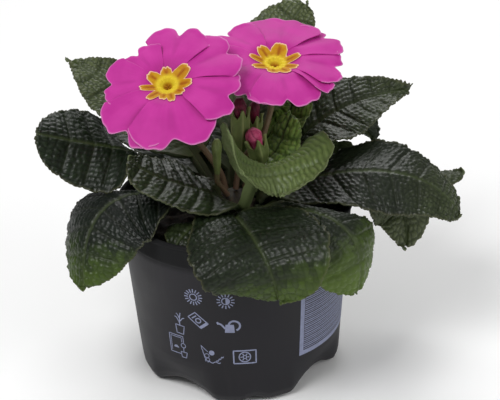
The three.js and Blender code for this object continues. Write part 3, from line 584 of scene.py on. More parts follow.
def care_signs():
    """Each sign as its angle from the front, its height, its turn in degrees, its lines and its
    filled outlines."""
    sun = [(arc(0, 0, 1.35), 0.4), *rays(16, 2.0, 3.5)]
    half = [(arc(0, 0, 1.4), 0.4), *rays(14, 2.0, 3.3)]
    half_disc = [arc(0, 0, 1.3, -90, 90, 14)]
    plant = [(line, 0.36) for line in (
        [[-1.9, -0.6], [1.9, -0.6], [1.5, -4.3], [-1.4, -4.3], [-1.9, -0.6]],
        [[0, -0.6], [-0.1, 2.2], [0.3, 5.2]],
        [[-0.1, 0.6], [-1.3, 2.6], [-2.2, 3.0]],
        [[0, 1.2], [1.3, 3.0], [2.0, 3.2]],
        [[0, 2.4], [-0.9, 4.1], [-1.5, 4.5]],
    )]
    bag = [
        ([[-3.6, -1.9], [3.0, -1.9], [3.6, 1.9], [-3.0, 1.9], [-3.6, -1.9]], 0.4),
        (arc(0.1, 0, 1.0), 0.45),
        ([[-2.2, -1.1], [-1.8, 1.1]], 0.5),
    ]
    bag_end = [[[2.0, -1.9], [3.0, -1.9], [3.6, 1.9], [2.6, 1.9]]]
    can = [
        (arc(1.6, 0.5, 2.1, -70, 165, 26), 0.75),
        ([[-1.7, -0.9], [-3.2, 1.0], [-4.2, 1.5]], 0.7),
        ([[-4.7, 2.0], [-4.2, 1.0]], 0.75),
    ]
    can_body = [[[-2.0, -2.6], [1.7, -2.6], [1.5, 1.0], [-1.6, 1.0]]]
    window = [
        ([[-4.2, -3.6], [-4.2, 4.6], [2.2, 4.6], [2.2, 1.6]], 0.34),
        ([[-4.2, -3.6], [0.4, -3.6]], 0.34),
        ([[-3.5, -2.8], [-3.5, 3.8], [1.4, 3.8], [1.4, 1.8]], 0.26),
        (arc(2.0, 0.4, 1.0), 0.3),
        ([[2.0, -0.6], [2.0, -2.6]], 0.3),
        ([[0.6, -2.6], [3.4, -2.6], [2.9, -5.0], [1.0, -5.0], [0.6, -2.6]], 0.34),
    ]
    window_sun = [arc(-1.3, -1.2, 1.1, 0, 180, 14)]
    shade = [
        (wavy((-4.2, 3.8), (-2.6, -3.2), 0.35, 4), 0.3),
        ([[-4.2, 3.8], [-1.6, 1.2]], 0.3),
        (arc(-2.1, -0.6, 0.9), 0.28),
        (arc(-1.8, -2.3, 0.7), 0.28),
        (wavy((-2.0, -3.5), (3.2, -3.3), 0.3, 2.0), 0.36),
        (wavy((1.6, -3.0), (4.4, -0.4), 0.35, 3), 0.34),
    ]
    shade_sun = [arc(-0.1, 0.9, 1.1, 0, 340, 22)]
    box = [
        ([[-4.3, -2.9], [4.3, -2.9], [4.3, 2.9], [-4.3, 2.9], [-4.3, -2.9]], 0.55),
        (arc(0, 0, 2.2, cuts=32), 0.45),
        (arc(0, 0, 0.7), 0.4),
        *rays(6, 1.0, 1.7, 0.4, 0),
    ]
    return [
        (-23.1, 48.2, 0, sun, []), (-6.6, 47.6, 0, half, half_disc), (-32.5, 34.6, -4, plant, []),
        (-21.6, 38.0, -42, bag, bag_end), (-5.1, 36.2, 0, can, can_body),
        (-34.6, 24.4, 0, window, window_sun), (-15.5, 23.0, 0, shade, shade_sun),
        (1.9, 22.4, 0, box, []),
    ]


def on_wall(pot, flat, proud):
    """Points of x along the wall and height, in millimetres, laid on the pot's cone."""
    radius = wall_radius(pot, flat[:, 1])
    angle = flat[:, 0] / wall_radius(pot, PRINT_MIDDLE) - math.pi / 2
    return turned_point(radius + proud, flat[:, 1], angle)


def raised_print(pot, left, right):
    """A closed ribbon a hair over the wall between two lines of as many points."""
    top = [on_wall(pot, side, PRINT_OVER) for side in (left, right)]
    low = [on_wall(pot, side, PRINT_UNDER) for side in (left, right)]
    rings = np.stack([top[1], top[0], low[0], low[1]], axis=1)
    return skin(rings, None, None)


def stroke(pot, line, width, place):
    """A line of even width: its two sides stand half the width off it, square to its run."""
    line = np.array(line, float)
    steps = np.maximum(1, (np.linalg.norm(np.diff(line, axis=0), axis=1) / PRINT_STEP).astype(int))
    pieces = [
        mix(a, b, np.linspace(0, 1, n, endpoint=False)[:, None])
        for a, b, n in zip(line, line[1:], steps)
    ]
    line = np.concatenate([*pieces, line[-1:]])
    run = unit(np.gradient(line, axis=0))
    off = 0.5 * width * np.stack([-run[:, 1], run[:, 0]], axis=-1)
    return raised_print(pot, place(line + off), place(line - off))


def filled(pot, outline, place):
    """A filled outline: a ribbon from one half of its points to the other half, taken backwards."""
    outline = np.array(outline, float)
    half = len(outline) // 2
    return raised_print(pot, place(outline[:half][::-1]), place(outline[-half:]))


def print_surfaces(pot):
    """The care signs and the plain panel of stripes, whose widths follow a sine and code nothing."""
    parts = []
    per_degree = math.radians(1) * wall_radius(pot, PRINT_MIDDLE)
    for angle, height, turn, lines, outlines in care_signs():
        c, s = math.cos(math.radians(turn)), math.sin(math.radians(turn))

        def place(points):
            return points @ np.array([[c, s], [-s, c]]) + [angle * per_degree, height]

        parts += [stroke(pot, line, width, place) for line, width in lines]
        parts += [filled(pot, outline, place) for outline in outlines]

    def bar(left, right, low, high):
        x = np.linspace(left, right, 2 + int((right - left) / 2)) * per_degree
        line = np.stack([x, np.full(x.shape, (low + high) / 2)], axis=-1)
        parts.append(stroke(pot, line, high - low, lambda points: points))

    border = PANEL_BORDER
    bar(PANEL_LEFT, PANEL_RIGHT, PANEL_FOOT, PANEL_FOOT + border)
    bar(PANEL_LEFT, PANEL_RIGHT, PANEL_TOP - border, PANEL_TOP)
    for edge in (PANEL_LEFT, PANEL_RIGHT - border / per_degree):
        x = (edge + 0.5 * border / per_degree) * per_degree
        line = np.array([[x, PANEL_FOOT + border], [x, PANEL_TOP - border]])
        parts.append(stroke(pot, line, border, lambda points: points))
    stripe_left = PANEL_LEFT + 1.1 * border / per_degree
    stripe_right = PANEL_RIGHT - 1.5 * border / per_degree
    at, k = PANEL_FOOT + border + 0.5, 0
    while at < PANEL_TOP - border - 0.8:
        width = 0.34 + 0.22 * math.sin(2.1 * k) ** 2
        bar(stripe_left, stripe_right, at, at + width)
        at += width + 0.34 + 0.16 * math.cos(1.3 * k) ** 2
        k += 1
    return parts


def ink_finish(pot):
    def build(w):
        ink = mottled(w, dimmed(pot.ink, 0.82), tuple(pot.ink), 0.0015)
        return ink["Color"], w.between(ink["Cloud"], 0.0, 1.0, 0.5, 0.62)

    return finish("print_ink", build)


# ---- Soil and crown -----------------------------------------------------------------------------

SOIL_TOP, SOIL_RELIEF = 61.5, 1.1
CROWN_RADIUS, CROWN_FOOT, CROWN_SHOULDER, CROWN_TOP = 8, 47, 67, 72


def soil_surface(pot):
    """The root ball turned about Z. Its top carries two crossed waves and three sizes of crumbs."""
    floor = CHANNEL + pot.wall / MM + CLEARANCE
    inner = wall_radius(pot, SOIL_TOP - 3) - pot.wall / MM - CLEARANCE
    hole = CROWN_RADIUS + 0.6 + CLEARANCE
    profile = [
        (0, floor, 0), (27, floor, 0), (33.2, 8, 0),
        (wall_radius(pot, ARCH_FADE) - pot.wall / MM - CLEARANCE - 0.3, ARCH_FADE + 0.2, 0),
        (inner - 0.3, SOIL_TOP - 2, 0), (inner - 0.8, SOIL_TOP - 0.4, 0.3), (inner - 2, SOIL_TOP, 0.7),
        *[(r, SOIL_TOP + 0.3 + 0.5 * math.sin((34 - r) / 8), 1)
          for r in np.arange(39.5, hole + 1.5, -0.7)],
        (hole + 0.8, SOIL_TOP + 0.4, 0.3), (hole, SOIL_TOP - 1, 0), (hole - 3, CROWN_FOOT, 0),
        (0, CROWN_FOOT, 0),
    ]
    lines = np.array(profile, float)[1:-1, :, None]
    angle = round_turn(SOIL_ROUND)
    points = turned_point(lines[:, 0], lines[:, 1], angle)
    x, y = points[..., 0], points[..., 1]
    broad = 0.6 * np.sin(0.55 * x + 1.3 * np.sin(0.31 * y)) + 0.4 * np.sin(0.83 * y + 0.37 * x)
    crumbs = np.zeros(x.shape)
    for size, height, salt in ((4.5, 1.0, 1), (2.2, 0.8, 2), (1.2, 0.35, 3)):
        near, _, own = cells(x / size + 40, y / size + 40, salt)
        crumbs += height * (own - 0.35) * smooth(0.75 - near, 0.0, 0.5)
    points[..., 2] += lines[:, 2] * (SOIL_RELIEF * broad + crumbs)
    marks = {"crumb": np.clip(0.4 + crumbs, 0, 1)}
    return skin(points, [0, 0, floor], [0, 0, CROWN_FOOT], marks, turned=True)


def crown_surface():
    """The crown: a post with a domed head whose skin is laid in the scales of old leaf bases."""
    rise = CROWN_TOP - CROWN_SHOULDER
    low = [(CROWN_RADIUS - 2.6, CROWN_FOOT + CLEARANCE), (CROWN_RADIUS - 2.6, CROWN_FOOT + 1)]
    post = [
        (mix(CROWN_RADIUS - 2.4, CROWN_RADIUS, t), mix(CROWN_FOOT + 2, SOIL_TOP - 1, t))
        for t in np.linspace(0, 1, 12)
    ]
    neck = [(CROWN_RADIUS, z) for z in np.linspace(SOIL_TOP - 0.5, CROWN_SHOULDER, 14)]
    dome = [
        (CROWN_RADIUS * math.cos(a), CROWN_SHOULDER + rise * math.sin(a))
        for a in np.linspace(0.08, 1.5, 16)
    ]
    lines = np.array(low + post + neck + dome)[:, :, None]
    angle = round_turn(CROWN_ROUND)
    height = np.broadcast_to(lines[:, 1], (len(lines), len(angle)))
    scale = np.sin(9 * angle + 1.1 * height) * np.sin(0.9 * height - 2 * angle)
    radius = lines[:, 0] * (1 + 0.045 * scale * smooth(height, CROWN_FOOT + 3, SOIL_TOP)) - 0.2
    foot, top = [0, 0, CROWN_FOOT + CLEARANCE], [0, 0, CROWN_TOP]
    return skin(turned_point(radius, height, angle), foot, top, {"scale": 0.5 + 0.5 * scale}, turned=True)


def soil_finish(pot):
    def build(w):
        peat = mottled(w, dimmed(pot.peat, 0.45), tuple(pot.peat), 0.0022, 6.0)
        base = w.blend(w.between(w.mark("crumb"), 0.35, 0.95), peat["Color"], tint(60, 47, 36))
        return base, w.between(peat["Cloud"], 0, 1, 0.8, 0.97)

    return finish("moist_peat", build, (0.0009, 0.5, 0.8, 0.0004))


def crown_finish():
    def build(w):
        cloud = mottled(w, tint(40, 36, 20), tint(66, 60, 36), 0.002, 4.0)
        base = w.blend(w.mark("scale"), tint(34, 26, 18), cloud["Color"])
        return base, w.between(cloud["Cloud"], 0, 1, 0.6, 0.8)

    return finish("crown_skin", build, (0.0008, 0.4, 0.5, 0.0002))


# ---- Leaves -------------------------------------------------------------------------------------

# Each leaf has its azimuth and its seat on the crown, its midrib at one third, two thirds and the tip,
# and the form of its blade, as the solids have them. Two numbers stand for the right and the left half,
# and for roll for its start and its end. gold is how far the yellow green of the tip reaches in and pale
# how much of the olive lies over the leaf. The painted shade is how strongly the inner part of the leaf
# is darkened to the darkest green, standing in for the shade of the leaves and blooms over it. A ridged
# leaf has ridges over its whole blade, and a far one has a coarser grid.
LEAVES = {
    "leaf_left_back": dict(
        azimuth=150, seat=68, route=[(-23.4, 16.9, 91.7), (-44.6, 24.3, 107.8), (-62.8, 36.8, 114.5)],
        width=40, taper=0.52, tip=1.2, roll=(-3, -29), cup=(-23, 0), curl=(23, 1), wave=1.5, pale=0.75),
    "leaf_left": dict(
        azimuth=178, seat=65.5, route=[(-30.9, 5.6, 83.7), (-45.3, 5.8, 89.7), (-73.1, 0, 99.2)],
        width=40, taper=1.09, roll=(27, -39), cup=(-9, -22), curl=(-8, 0), wave=2, pale=0.0, deep=0.3),
    "leaf_left_low": dict(
        azimuth=206, seat=64, route=[(-28.7, -11.1, 77.6), (-48.5, -22, 77.3), (-56.9, -37, 52.8)],
        width=47, roll=(1, -17), cup=(-12, -7), curl=(-27, -17), wave=2, gold=0.6, pale=0.0, deep=1.0),
    "leaf_left_under": dict(
        azimuth=240, seat=64.5, route=[(-9.5, -22.2, 67.9), (-14.6, -27, 71.6), (-22.7, -35.6, 67.2)],
        width=24, cup=(-4, 3), curl=-30, pairs=5, wave=1),
    "leaf_left_front": dict(
        azimuth=212, seat=67, route=[(-7.9, -13.5, 77.4), (-23.6, -16.9, 85.2), (-37.4, -16, 94.3)],
        width=30, taper=0.52, roll=(0, -19), cup=(10, -13), curl=(-12, -2), wave=1),
    "leaf_front": dict(
        azimuth=278, seat=64, route=[(0.3, -23.6, 72.6), (7.5, -48, 73), (14, -54.5, 53.5)], heading=268,
        width=50, tip=0.5, roll=(0, -4), cup=(11, 9), curl=(-34, -11), wave=2, gold=0.6, pale=0.1, deep=0.5),
    "leaf_front_right": dict(
        azimuth=314, seat=64.5, route=[(16.3, -19.3, 73.4), (37, -35.1, 74.2), (44.3, -37.3, 46.3)],
        width=37, taper=2.02, tip=0.42, roll=(-3, -9), cup=(-20, 11), curl=(-24, -48), wave=2, gold=1.0,
        deep=0.6),
    "leaf_right": dict(
        azimuth=356, seat=67.2, route=[(25.6, -1.2, 75.8), (58.5, -7.5, 80.8), (84.6, -10.9, 63.2)],
        width=37, taper=0.58, tip=0.41, roll=(10, 16), cup=(-14, -7), curl=(4, 2), wave=2, pale=0.4,
        deep=0.8),
    "leaf_right_under": dict(
        azimuth=342, seat=64.5, route=[(22.6, -2.8, 68.4), (52.2, -0.5, 70.9), (65.7, -2.7, 45.8)],
        width=26, taper=1.19, roll=(-15, 70), cup=(14, 26), curl=(-23, -14), pairs=5, wave=2, pale=0.7),
    "leaf_right_far": dict(
        azimuth=14, seat=63.8, route=[(36.6, 19.2, 76), (57.4, 24.6, 69.4), (91.6, 28, 62.2)],
        width=37, taper=1.27, roll=(6, -26), cup=(-8, -10), curl=(-43, 13), pairs=5, wave=2, pale=0.3,
        far=True),
    "leaf_right_back": dict(
        azimuth=30, seat=67, route=[(26.8, 17.7, 85.5), (47.7, 26.2, 95.2), (72, 36.5, 95.7)],
        width=34, taper=0.97, tip=1.17, roll=(2, 24), cup=(2, 7), curl=(-1, 6), wave=2, pale=0.3),
    "leaf_right_back_low": dict(
        azimuth=48, seat=64, route=[(15.3, 19.9, 73.4), (31.5, 37.7, 85.5), (58.3, 51.5, 68.7)],
        width=38, roll=(0, -9), cup=(14, 4), curl=(-8, -5), pairs=5, wave=2, far=True),
    "leaf_top_back": dict(
        azimuth=82, seat=69.5, route=[(4.3, 22.4, 89.1), (16.1, 38.4, 110.3), (31, 50.1, 128.8)],
        width=31, roll=(-6, 6), cup=(13, -2), curl=(2, 0), wave=1.5, pale=0.9),
    "leaf_back": dict(
        azimuth=98, seat=66, route=[(-1.7, 28.9, 79.3), (-7, 53, 93.5), (-10, 76, 90)],
        width=44, cup=6, curl=-15, pairs=5, wave=2, far=True, pale=0.3),
    "leaf_back_left": dict(
        azimuth=124, seat=64.5, route=[(-16, 25, 75), (-31, 47, 80), (-43, 65, 72)],
        width=42, cup=6, curl=-15, pairs=5, wave=2, far=True),
    "leaf_heart_front": dict(
        azimuth=285, seat=69, route=[(5.7, -15.6, 79.3), (11, -18.5, 90.5), (16.2, -30.2, 83.9)],
        width=51, stalk=0.4, taper=1.03, roll=(-3, 3), cup=(20, -19), opens=1, curl=(69, 55), wave=1,
        young=True, ridged=True, pale=0.85, deep=0.25),
    "leaf_heart_back": dict(
        azimuth=22, seat=70.6, route=[(11.1, 5.4, 81.6), (15.6, 6.6, 84), (22.7, 14.2, 96.7)],
        width=21, roll=(-10, 5), cup=(-2, 9), curl=(-47, -41), wave=1, young=True),
    "leaf_heart_far": dict(
        azimuth=57, seat=67.7, route=[(11, 20.4, 81.2), (21.2, 25.4, 90.8), (22.4, 30.4, 96.5)],
        width=22, cup=10, curl=0, wave=1, young=True),
}
BLADE, STALK_THICKNESS, STALK_HALF_WIDTH = 0.8, 2.2, 2.1
STALK_SHARE, STALK_FOLD = 0.18, 35
BLADE_TAPER, BLADE_TIP = 0.85, 0.5
VEIN_PAIRS, VEIN_PAIRS_YOUNG, VEIN_SLANT = 7, 5, 0.2
RIB_HEIGHT, SCALLOP = 0.55, 0.025
# How many points the length is measured at, and the coarser grid of far leaves.
RUN_SAMPLES, FAR_STEP = 1500, 1.5
# Widths and depths of the veins' grooves; the midrib has one width at the stalk and one at the tip.
SIDE_VEIN_WIDTH, SIDE_VEIN_DEPTH = 0.4, 0.35
MIDRIB_WIDTH, MIDRIB_TIP_WIDTH, MIDRIB_DEPTH = 1.0, 0.5, 0.5
RIDGE_GAP, RIDGE_HEIGHT, RIDGED_BLISTER = 2.1, 0.5, 0.45
SMALL_BLISTER, SMALL_BLISTER_SHARE = 0.45, 0.22
# The ripple along the margin, the distance between its waves, and the share of the relief that the
# lower skin follows.
MARGIN_WAVE, MARGIN_GAP, LOWER_FOLLOWS = 0.3, 3.1, 0.85


def midrib(leaf, t):
    """The cubic through the leaf's root on the crown and the three points of its route."""
    seat, azimuth = leaf["seat"], math.radians(leaf["azimuth"])
    share = max(0.0, seat - CROWN_SHOULDER) / (CROWN_TOP - CROWN_SHOULDER)
    radius = CROWN_RADIUS * math.sqrt(max(0.0, 1 - share**2)) + ROOT_CLEARANCE
    root = (radius * math.cos(azimuth), radius * math.sin(azimuth), seat)
    weights = np.stack([
        -4.5 * (t - 1 / 3) * (t - 2 / 3) * (t - 1), 13.5 * t * (t - 2 / 3) * (t - 1),
        -13.5 * t * (t - 1 / 3) * (t - 1), 4.5 * t * (t - 1 / 3) * (t - 2 / 3),
    ], axis=-1)
    return weights @ np.array([root, *leaf["route"]], float)


def leaf_frame(leaf, t):
    """The midrib's point, the blade's sideways direction, level and then rolled, and its upward one."""
    ahead = unit(midrib(leaf, t + 1e-3) - midrib(leaf, t - 1e-3))
    end = leaf["route"][2]
    heading = math.radians(leaf["heading"]) if "heading" in leaf else math.atan2(end[1], end[0])
    side = np.array([-math.sin(heading), math.cos(heading), 0.0])
    side = unit(side - ahead * (ahead @ side)[..., None])
    above = np.cross(ahead, side)
    start, stop = leaf.get("roll", (0, 0))
    roll = np.radians(mix(start, stop, smooth(t, 0.35, 1)))[..., None]
    side = side * np.cos(roll) + above * np.sin(roll)
    return midrib(leaf, t), side, np.cross(ahead, side)


def both(value, left):
    """A number for the right half and one for the left, or one number for both."""
    right_value, left_value = value if isinstance(value, tuple) else (value, value)
    return np.where(left, left_value, right_value)


def blade_share(leaf, t):
    stalk = leaf.get("stalk", STALK_SHARE)
    return np.clip((t - stalk) / (1 - stalk), 0, 1)


def half_width(leaf, t):
    """A narrow winged stalk that widens to a blade: share^taper times (1 - share)^tip, scaled so that
    its largest value is half the leaf's width."""
    blade = blade_share(leaf, t)
    taper, tip = leaf.get("taper", BLADE_TAPER), leaf.get("tip", BLADE_TIP)
    widest = taper / (taper + tip)
    peak = widest**taper * (1 - widest) ** tip
    outline = blade**taper * (1 - blade) ** tip / peak
    return STALK_HALF_WIDTH * (1 - blade) + (leaf["width"] / 2 - 0.7) * outline


def leaf_sheet(leaf, t, v):
    """The blade without its relief: across the midrib it leaves at the fold angle and bends by the
    curl, and the margin is ruffled by a sine of the length."""
    point, side, up = leaf_frame(leaf, t)
    left = v > 0
    reach = np.abs(v)
    width = half_width(leaf, t)
    stalk = leaf.get("stalk", STALK_SHARE)
    open_share = smooth(t, stalk * 0.5, stalk + 0.25)
    opening = 1 - leaf.get("opens", 0) * smooth(t, 0.6, 1)
    fold = np.radians(mix(STALK_FOLD * smooth(t, 0, 0.1), both(leaf["cup"], left) * opening, open_share))
    curl = np.radians(both(leaf["curl"], left)) * open_share
    curl = np.where(np.abs(curl) < 1e-3, 1e-3, curl)
    across = (np.sin(fold + curl * reach) - np.sin(fold)) / curl
    lift = (np.cos(fold) - np.cos(fold + curl * reach)) / curl
    ruffle = np.sin(13 * t + np.where(left, 0, 2.1) + math.radians(leaf["azimuth"]) * 3)
    rise = width * lift + leaf["wave"] * open_share * reach**2 * ruffle
    return point + side * (np.sign(v) * width * across)[..., None] + up * rise[..., None]


def leaf_surface(name, leaf, sizes):
    """A leaf. Rows run along the side veins and are spaced evenly along the margin. Over the sheet
    stand pillows between the side veins, a groove on each vein and on the midrib, and blisters, which
    are the middles of small cells; the margin has rounded teeth. A ridged leaf has ridges too, by a
    cosine across it that swerves along it. The lower skin follows the upper one at the blade's
    thickness, with the veins standing out."""
    salt = float(sum(map(ord, name)) % 97)
    stalk = leaf.get("stalk", STALK_SHARE)
    pairs = leaf.get("pairs", VEIN_PAIRS_YOUNG if leaf.get("young") else VEIN_PAIRS)
    step = sizes.step / MM * (FAR_STEP if leaf.get("far") else 1.0)
    t = np.linspace(0, 1, RUN_SAMPLES)
    run = np.concatenate([[0], np.cumsum(np.linalg.norm(np.diff(midrib(leaf, t), axis=0), axis=1))])
    long = run[-1]
    margin = np.concatenate([[0], np.cumsum(np.hypot(np.diff(run), np.diff(half_width(leaf, t))))])
    at = np.linspace(0, margin[-1], int(margin[-1] / step))[:-1]
    at = np.append(at, margin[-1] - 0.25 * step)
    share = np.interp(at, margin, t)[:, None]
    columns = 2 * int(0.5 * leaf["width"] / step) + 1
    v = np.linspace(-1, 1, columns)[None, :]
    v = np.sign(v) * (1 - (1 - np.abs(v)) ** 1.12)
    blade = blade_share(leaf, share)
    reach = np.abs(v)
    slant = VEIN_SLANT * reach**1.2 * (1 - blade) * np.minimum(1, 3 * blade)
    along = share + slant * (1 - stalk)
    width = half_width(leaf, along)
    grown = smooth(blade, 0.0, 0.16)

    row = blade * (2 * pairs + 1)
    rib = -0.7 + 1.7 * np.abs(np.cos(0.5 * math.pi * row)) ** 0.8
    spread = 2.2 / np.maximum(width, 2.3)
    edge = smooth(reach, 1 - spread, 1)
    sine = np.abs(np.sin(math.pi * at[:, None] / (sizes.tooth / MM) + 1.3 * (v > 0)))
    tooth = sizes.tooth_depth / MM * (sine**0.7 - 0.6) * edge * grown
    stretch = 1 + SCALLOP * rib * smooth(reach, 0.66, 1) + tooth / np.maximum(width, 1.5)
    sheet = leaf_sheet(leaf, along, v * stretch)

    normal = unit(np.cross(np.gradient(sheet, axis=0), np.gradient(sheet, axis=1)))
    normal[0] = normal[1]
    x, y = v * width, share * long + 0 * v
    size = sizes.blister / MM
    near, next_near, own = cells(x / (1.12 * size) + 30, y / size + 30, salt)
    border = next_near - near
    dome = smooth(border, 0.0, 0.5) * (0.72 + 0.28 * own)
    small = SMALL_BLISTER * size
    small_near, small_next, _ = cells(x / small + 30, y / small + 30, salt + 3)
    fine = smooth(small_next - small_near, 0.0, 0.45)
    off_vein = (row - (2 * np.floor(row / 2) + 1)) / (2 * pairs + 1) * long * (1 - stalk)
    side_vein = bell(off_vein, SIDE_VEIN_WIDTH) * smooth(blade, 0.03, 0.12)
    side_vein = side_vein * (1 - smooth(reach, 0.7, 0.95))
    main_vein = bell(x, mix(MIDRIB_WIDTH, MIDRIB_TIP_WIDTH, blade))
    swell = np.sin(0.86 * math.pi * reach) * smooth(blade, 0, 0.2) * (1 - smooth(blade, 0.9, 1))
    vein = np.clip(0.75 * side_vein + main_vein * grown, 0, 1)
    broken = 0.62 + 0.2 * np.sin(0.8 * x + 1.7 * np.sin(0.45 * y + salt))
    broken += 0.18 * np.sin(0.7 * y - 0.5 * x + salt)
    ridged = leaf.get("ridged", False)
    swerve = x + 0.5 * np.sin(0.8 * y + salt) + 0.25 * np.sin(1.9 * y + 0.7 * x)
    ridge = np.abs(np.cos(math.pi * swerve / RIDGE_GAP)) * ridged * grown * (1 - smooth(reach, 0.9, 1))
    blister = (RIDGED_BLISTER if ridged else 1.0) * sizes.blister_height / MM
    blister = blister * (dome + SMALL_BLISTER_SHARE * fine) * grown * (1 - 0.8 * vein)
    relief = 0.65 * RIB_HEIGHT * broken * rib * swell + blister + RIDGE_HEIGHT * ridge
    relief -= SIDE_VEIN_DEPTH * side_vein + MIDRIB_DEPTH * main_vein * grown
    relief += MARGIN_WAVE * edge * grown * np.sin(math.pi * at[:, None] / MARGIN_GAP + 2 * own)
    upper = sheet + normal * relief[..., None]

    thick = mix(BLADE - 0.1, STALK_THICKNESS, 1 - smooth(share, 0, stalk + 0.3))
    thick = thick * (1 - 0.45 * edge * grown) + 0.9 * (1 - share) * main_vein * grown + 0.25 * side_vein
    lower = sheet + normal * (LOWER_FOLLOWS * relief - thick)[..., None]
    rings = np.concatenate([upper, lower[:, ::-1]], axis=1)

    def double(mark, below=None):
        mark = np.broadcast_to(mark, x.shape)
        return np.concatenate([mark, (mark if below is None else below + 0 * mark)[:, ::-1]], axis=1)

    gold = leaf.get("gold", 0.0)
    tipward = blade + 0.1 * (own - 0.5) + 0.1 * reach
    bumps = (0.75 * dome + 0.25 * fine) * grown * (1 - 0.6 * vein)
    marks = {
        "blister": double(mix(bumps, 0.6, 0.7 * ridged)),
        "vein": double(np.clip(0.2 * side_vein + main_vein * grown, 0, 1), vein),
        "rim": double(smooth(reach, 1 - 0.5 * spread, 1) * grown),
        "under": double(0.0, 1.0),
        "stalk": double(1 - grown),
        "gold": double(gold * smooth(tipward, 1.05 - 0.45 * gold, 1.1)),
        "ridge": double(np.clip(ridge if ridged else 0.5 + 0.5 * rib * swell, 0, 1)),
        "tone": double(leaf.get("pale", 0.12) * mix(0.5, 1.0, blade)),
        # Painted shade: full over the stalk and the inner half of the blade, fading to nothing at the tip,
        # scaled by the leaf's own strength.
        "deep": double(leaf.get("deep", 0.0) * (1 - smooth(blade, 0.55, 1.0))),
    }
    return skin(rings, None, None, marks)


def leaf_finish(name, colour_low, colour_high, below, leaf):
    def build(w):
        cloud = mottled(w, colour_low, colour_high, 0.011, 4.0)
        # Painted shade: the darkest green is laid over the inner part of the shaded leaves, standing in for
        # the shade of the leaves and blooms over them.
        base = w.layers(
            cloud["Color"], ("tone", 1.0, tuple(leaf.olive)), ("deep", 1.0, tint(18, 25, 19))
        )
        # Painted shade: where the blister mark is low, in the hollows round the blisters, and where the
        # ridge mark is low, in the troughs between ridges or pillows, the colour is multiplied darker,
        # standing in for the shade that falls there.
        groove = w.blend(1.0, base, tint(150, 164, 144), "MULTIPLY")
        base = w.blend(w.between(w.mark("blister"), 0.0, 0.7), groove, base)
        groove = w.blend(1.0, base, tint(190, 196, 180), "MULTIPLY")
        base = w.blend(w.mark("ridge"), groove, base)
        base = w.layers(
            base, ("gold", 0.8, tuple(leaf.tip)), ("vein", 0.5, tint(74, 86, 50)),
            ("rim", 0.4, tint(92, 92, 64)), ("stalk", 1.0, tint(64, 72, 42)),
        )
        under = w.blend(w.mark("vein"), below, tint(112, 122, 84))
        base = w.blend(w.mark("under"), base, under)
        rough = w.between(w.mark("blister"), 0.0, 1.0, 0.48, 0.3)
        rough = w.math("ADD", rough, w.math("MULTIPLY", w.mark("under"), 0.3), clamp=True)
        return base, rough

    return finish(name, build, (0.0006, 0.5, 0.35, 0.00012), Specular_IOR_Level=0.25)


# ---- Blooms and buds ----------------------------------------------------------------------------

# A petal and a lobe of the eye's star are a direction in degrees, a reach and a half width in degrees.
BLOOMS = {
    "flower_left": dict(
        at=(-22.8, -14, 123.8), faces=(-0.08, -0.52, 0.85),
        petals=[
            (-20, 27, 34), (-86, 28.3, 42), (-129, 28.2, 36), (174, 23.2, 32), (127, 19.2, 32),
            (76, 25.8, 34), (28, 28.8, 28),
        ],
        star=[
            (35, 10.2, 20), (-10, 9.5, 16), (-44, 8.2, 16), (-79, 9.6, 12), (-104, 7.9, 15),
            (-134, 10.4, 11), (-168, 10.3, 10), (147, 8.2, 20), (91, 7.2, 18),
        ],
        stands=(-3.4, 1.2), bends=[(-5, 1, 79), (-13, 0, 93)]),
    "flower_right": dict(
        at=(17.3, 5, 123.6), faces=(0.08, -0.28, 0.95),
        petals=[
            (140, 25.8, 32), (80, 29.6, 37), (39, 29, 28), (-6, 25.6, 34), (-28, 25.8, 22), (-80, 26.4, 37),
            (-120, 25.5, 32), (-166, 24, 34),
        ],
        star=[
            (74, 9.6, 24), (15, 9.9, 13), (-32, 9.7, 14), (-62, 9.9, 16), (-98, 8.8, 20), (-145, 10.5, 13),
            (173, 9.9, 12), (129, 9.2, 20),
        ],
        stands=(4.2, 2.2), bends=[(7.2, 4, 80), (13, 8.3, 94)]),
}
BUDS = {
    "bud_front": dict(
        at=(10.6, -1.5, 83.2), points=(-0.2, -0.05, 1), calyx=(3.8, 10), corolla=(3.2, 15), hue="pink",
        stands=(3.8, -1.6), bends=(7.6, -1.9, 77)),
    "bud_back": dict(
        at=(8.4, 7.2, 91.5), points=(0.05, 0, 1), calyx=(2.8, 7), corolla=(2.1, 13.5), hue="wine",
        stands=(0.6, 4.2), bends=(3.8, 7.6, 81)),
    "bud_middle": dict(
        at=(2.6, 2.1, 86.5), points=(0.03, 0, 1), calyx=(3.4, 17), corolla=(2.8, 22.5), hue="wine",
        stands=(0.6, -0.4), bends=(1.6, 0.8, 79)),
    "bud_green": dict(
        at=(-6.2, -6, 82), points=(0.03, -0.02, 1), calyx=(2, 14.5),
        stands=(-2.6, -3.6), bends=(-4.8, -5.2, 76)),
}
PETAL = 0.7
PETAL_NOTCH, NOTCH_WIDTH, PETAL_SHOULDER, PETAL_TILT, PETAL_RUFFLE = 0.13, 0.14, 0.16, 0.6, 0.45
CLAW_RADIUS, CLAW_HALF_ANGLE, PETAL_OPEN = 6, 27, 0.3
FUNNEL_RADIUS, FUNNEL_DEPTH, FACE_FALL, FACE_REACH = 10, 4.8, 2.2, 16
DISC_RADIUS, DISC_THICKNESS, DISC_SINK = 9.2, 1, 0.3
EYE_ROOT, THROAT_RADIUS, TUBE_RADIUS, TUBE_LENGTH = 5, 3, 1.5, 9.4
CALYX_RADIUS, CALYX_LENGTH, CALYX_DROP, NECK_DROP = 3.3, 13, 4.1, 5
STALK_RADIUS, BUD_STALK_RADIUS = 1.15, 0.98
HAIR_THICKNESS, HAIR_TURN = 0.035, 0.35
# Where a bud's petals start, as a share of its calyx's length, and the room for them in the calyx, as
# a share of their greatest radius.
BUD_SEAT, BUD_WAIST = 0.16, 0.88


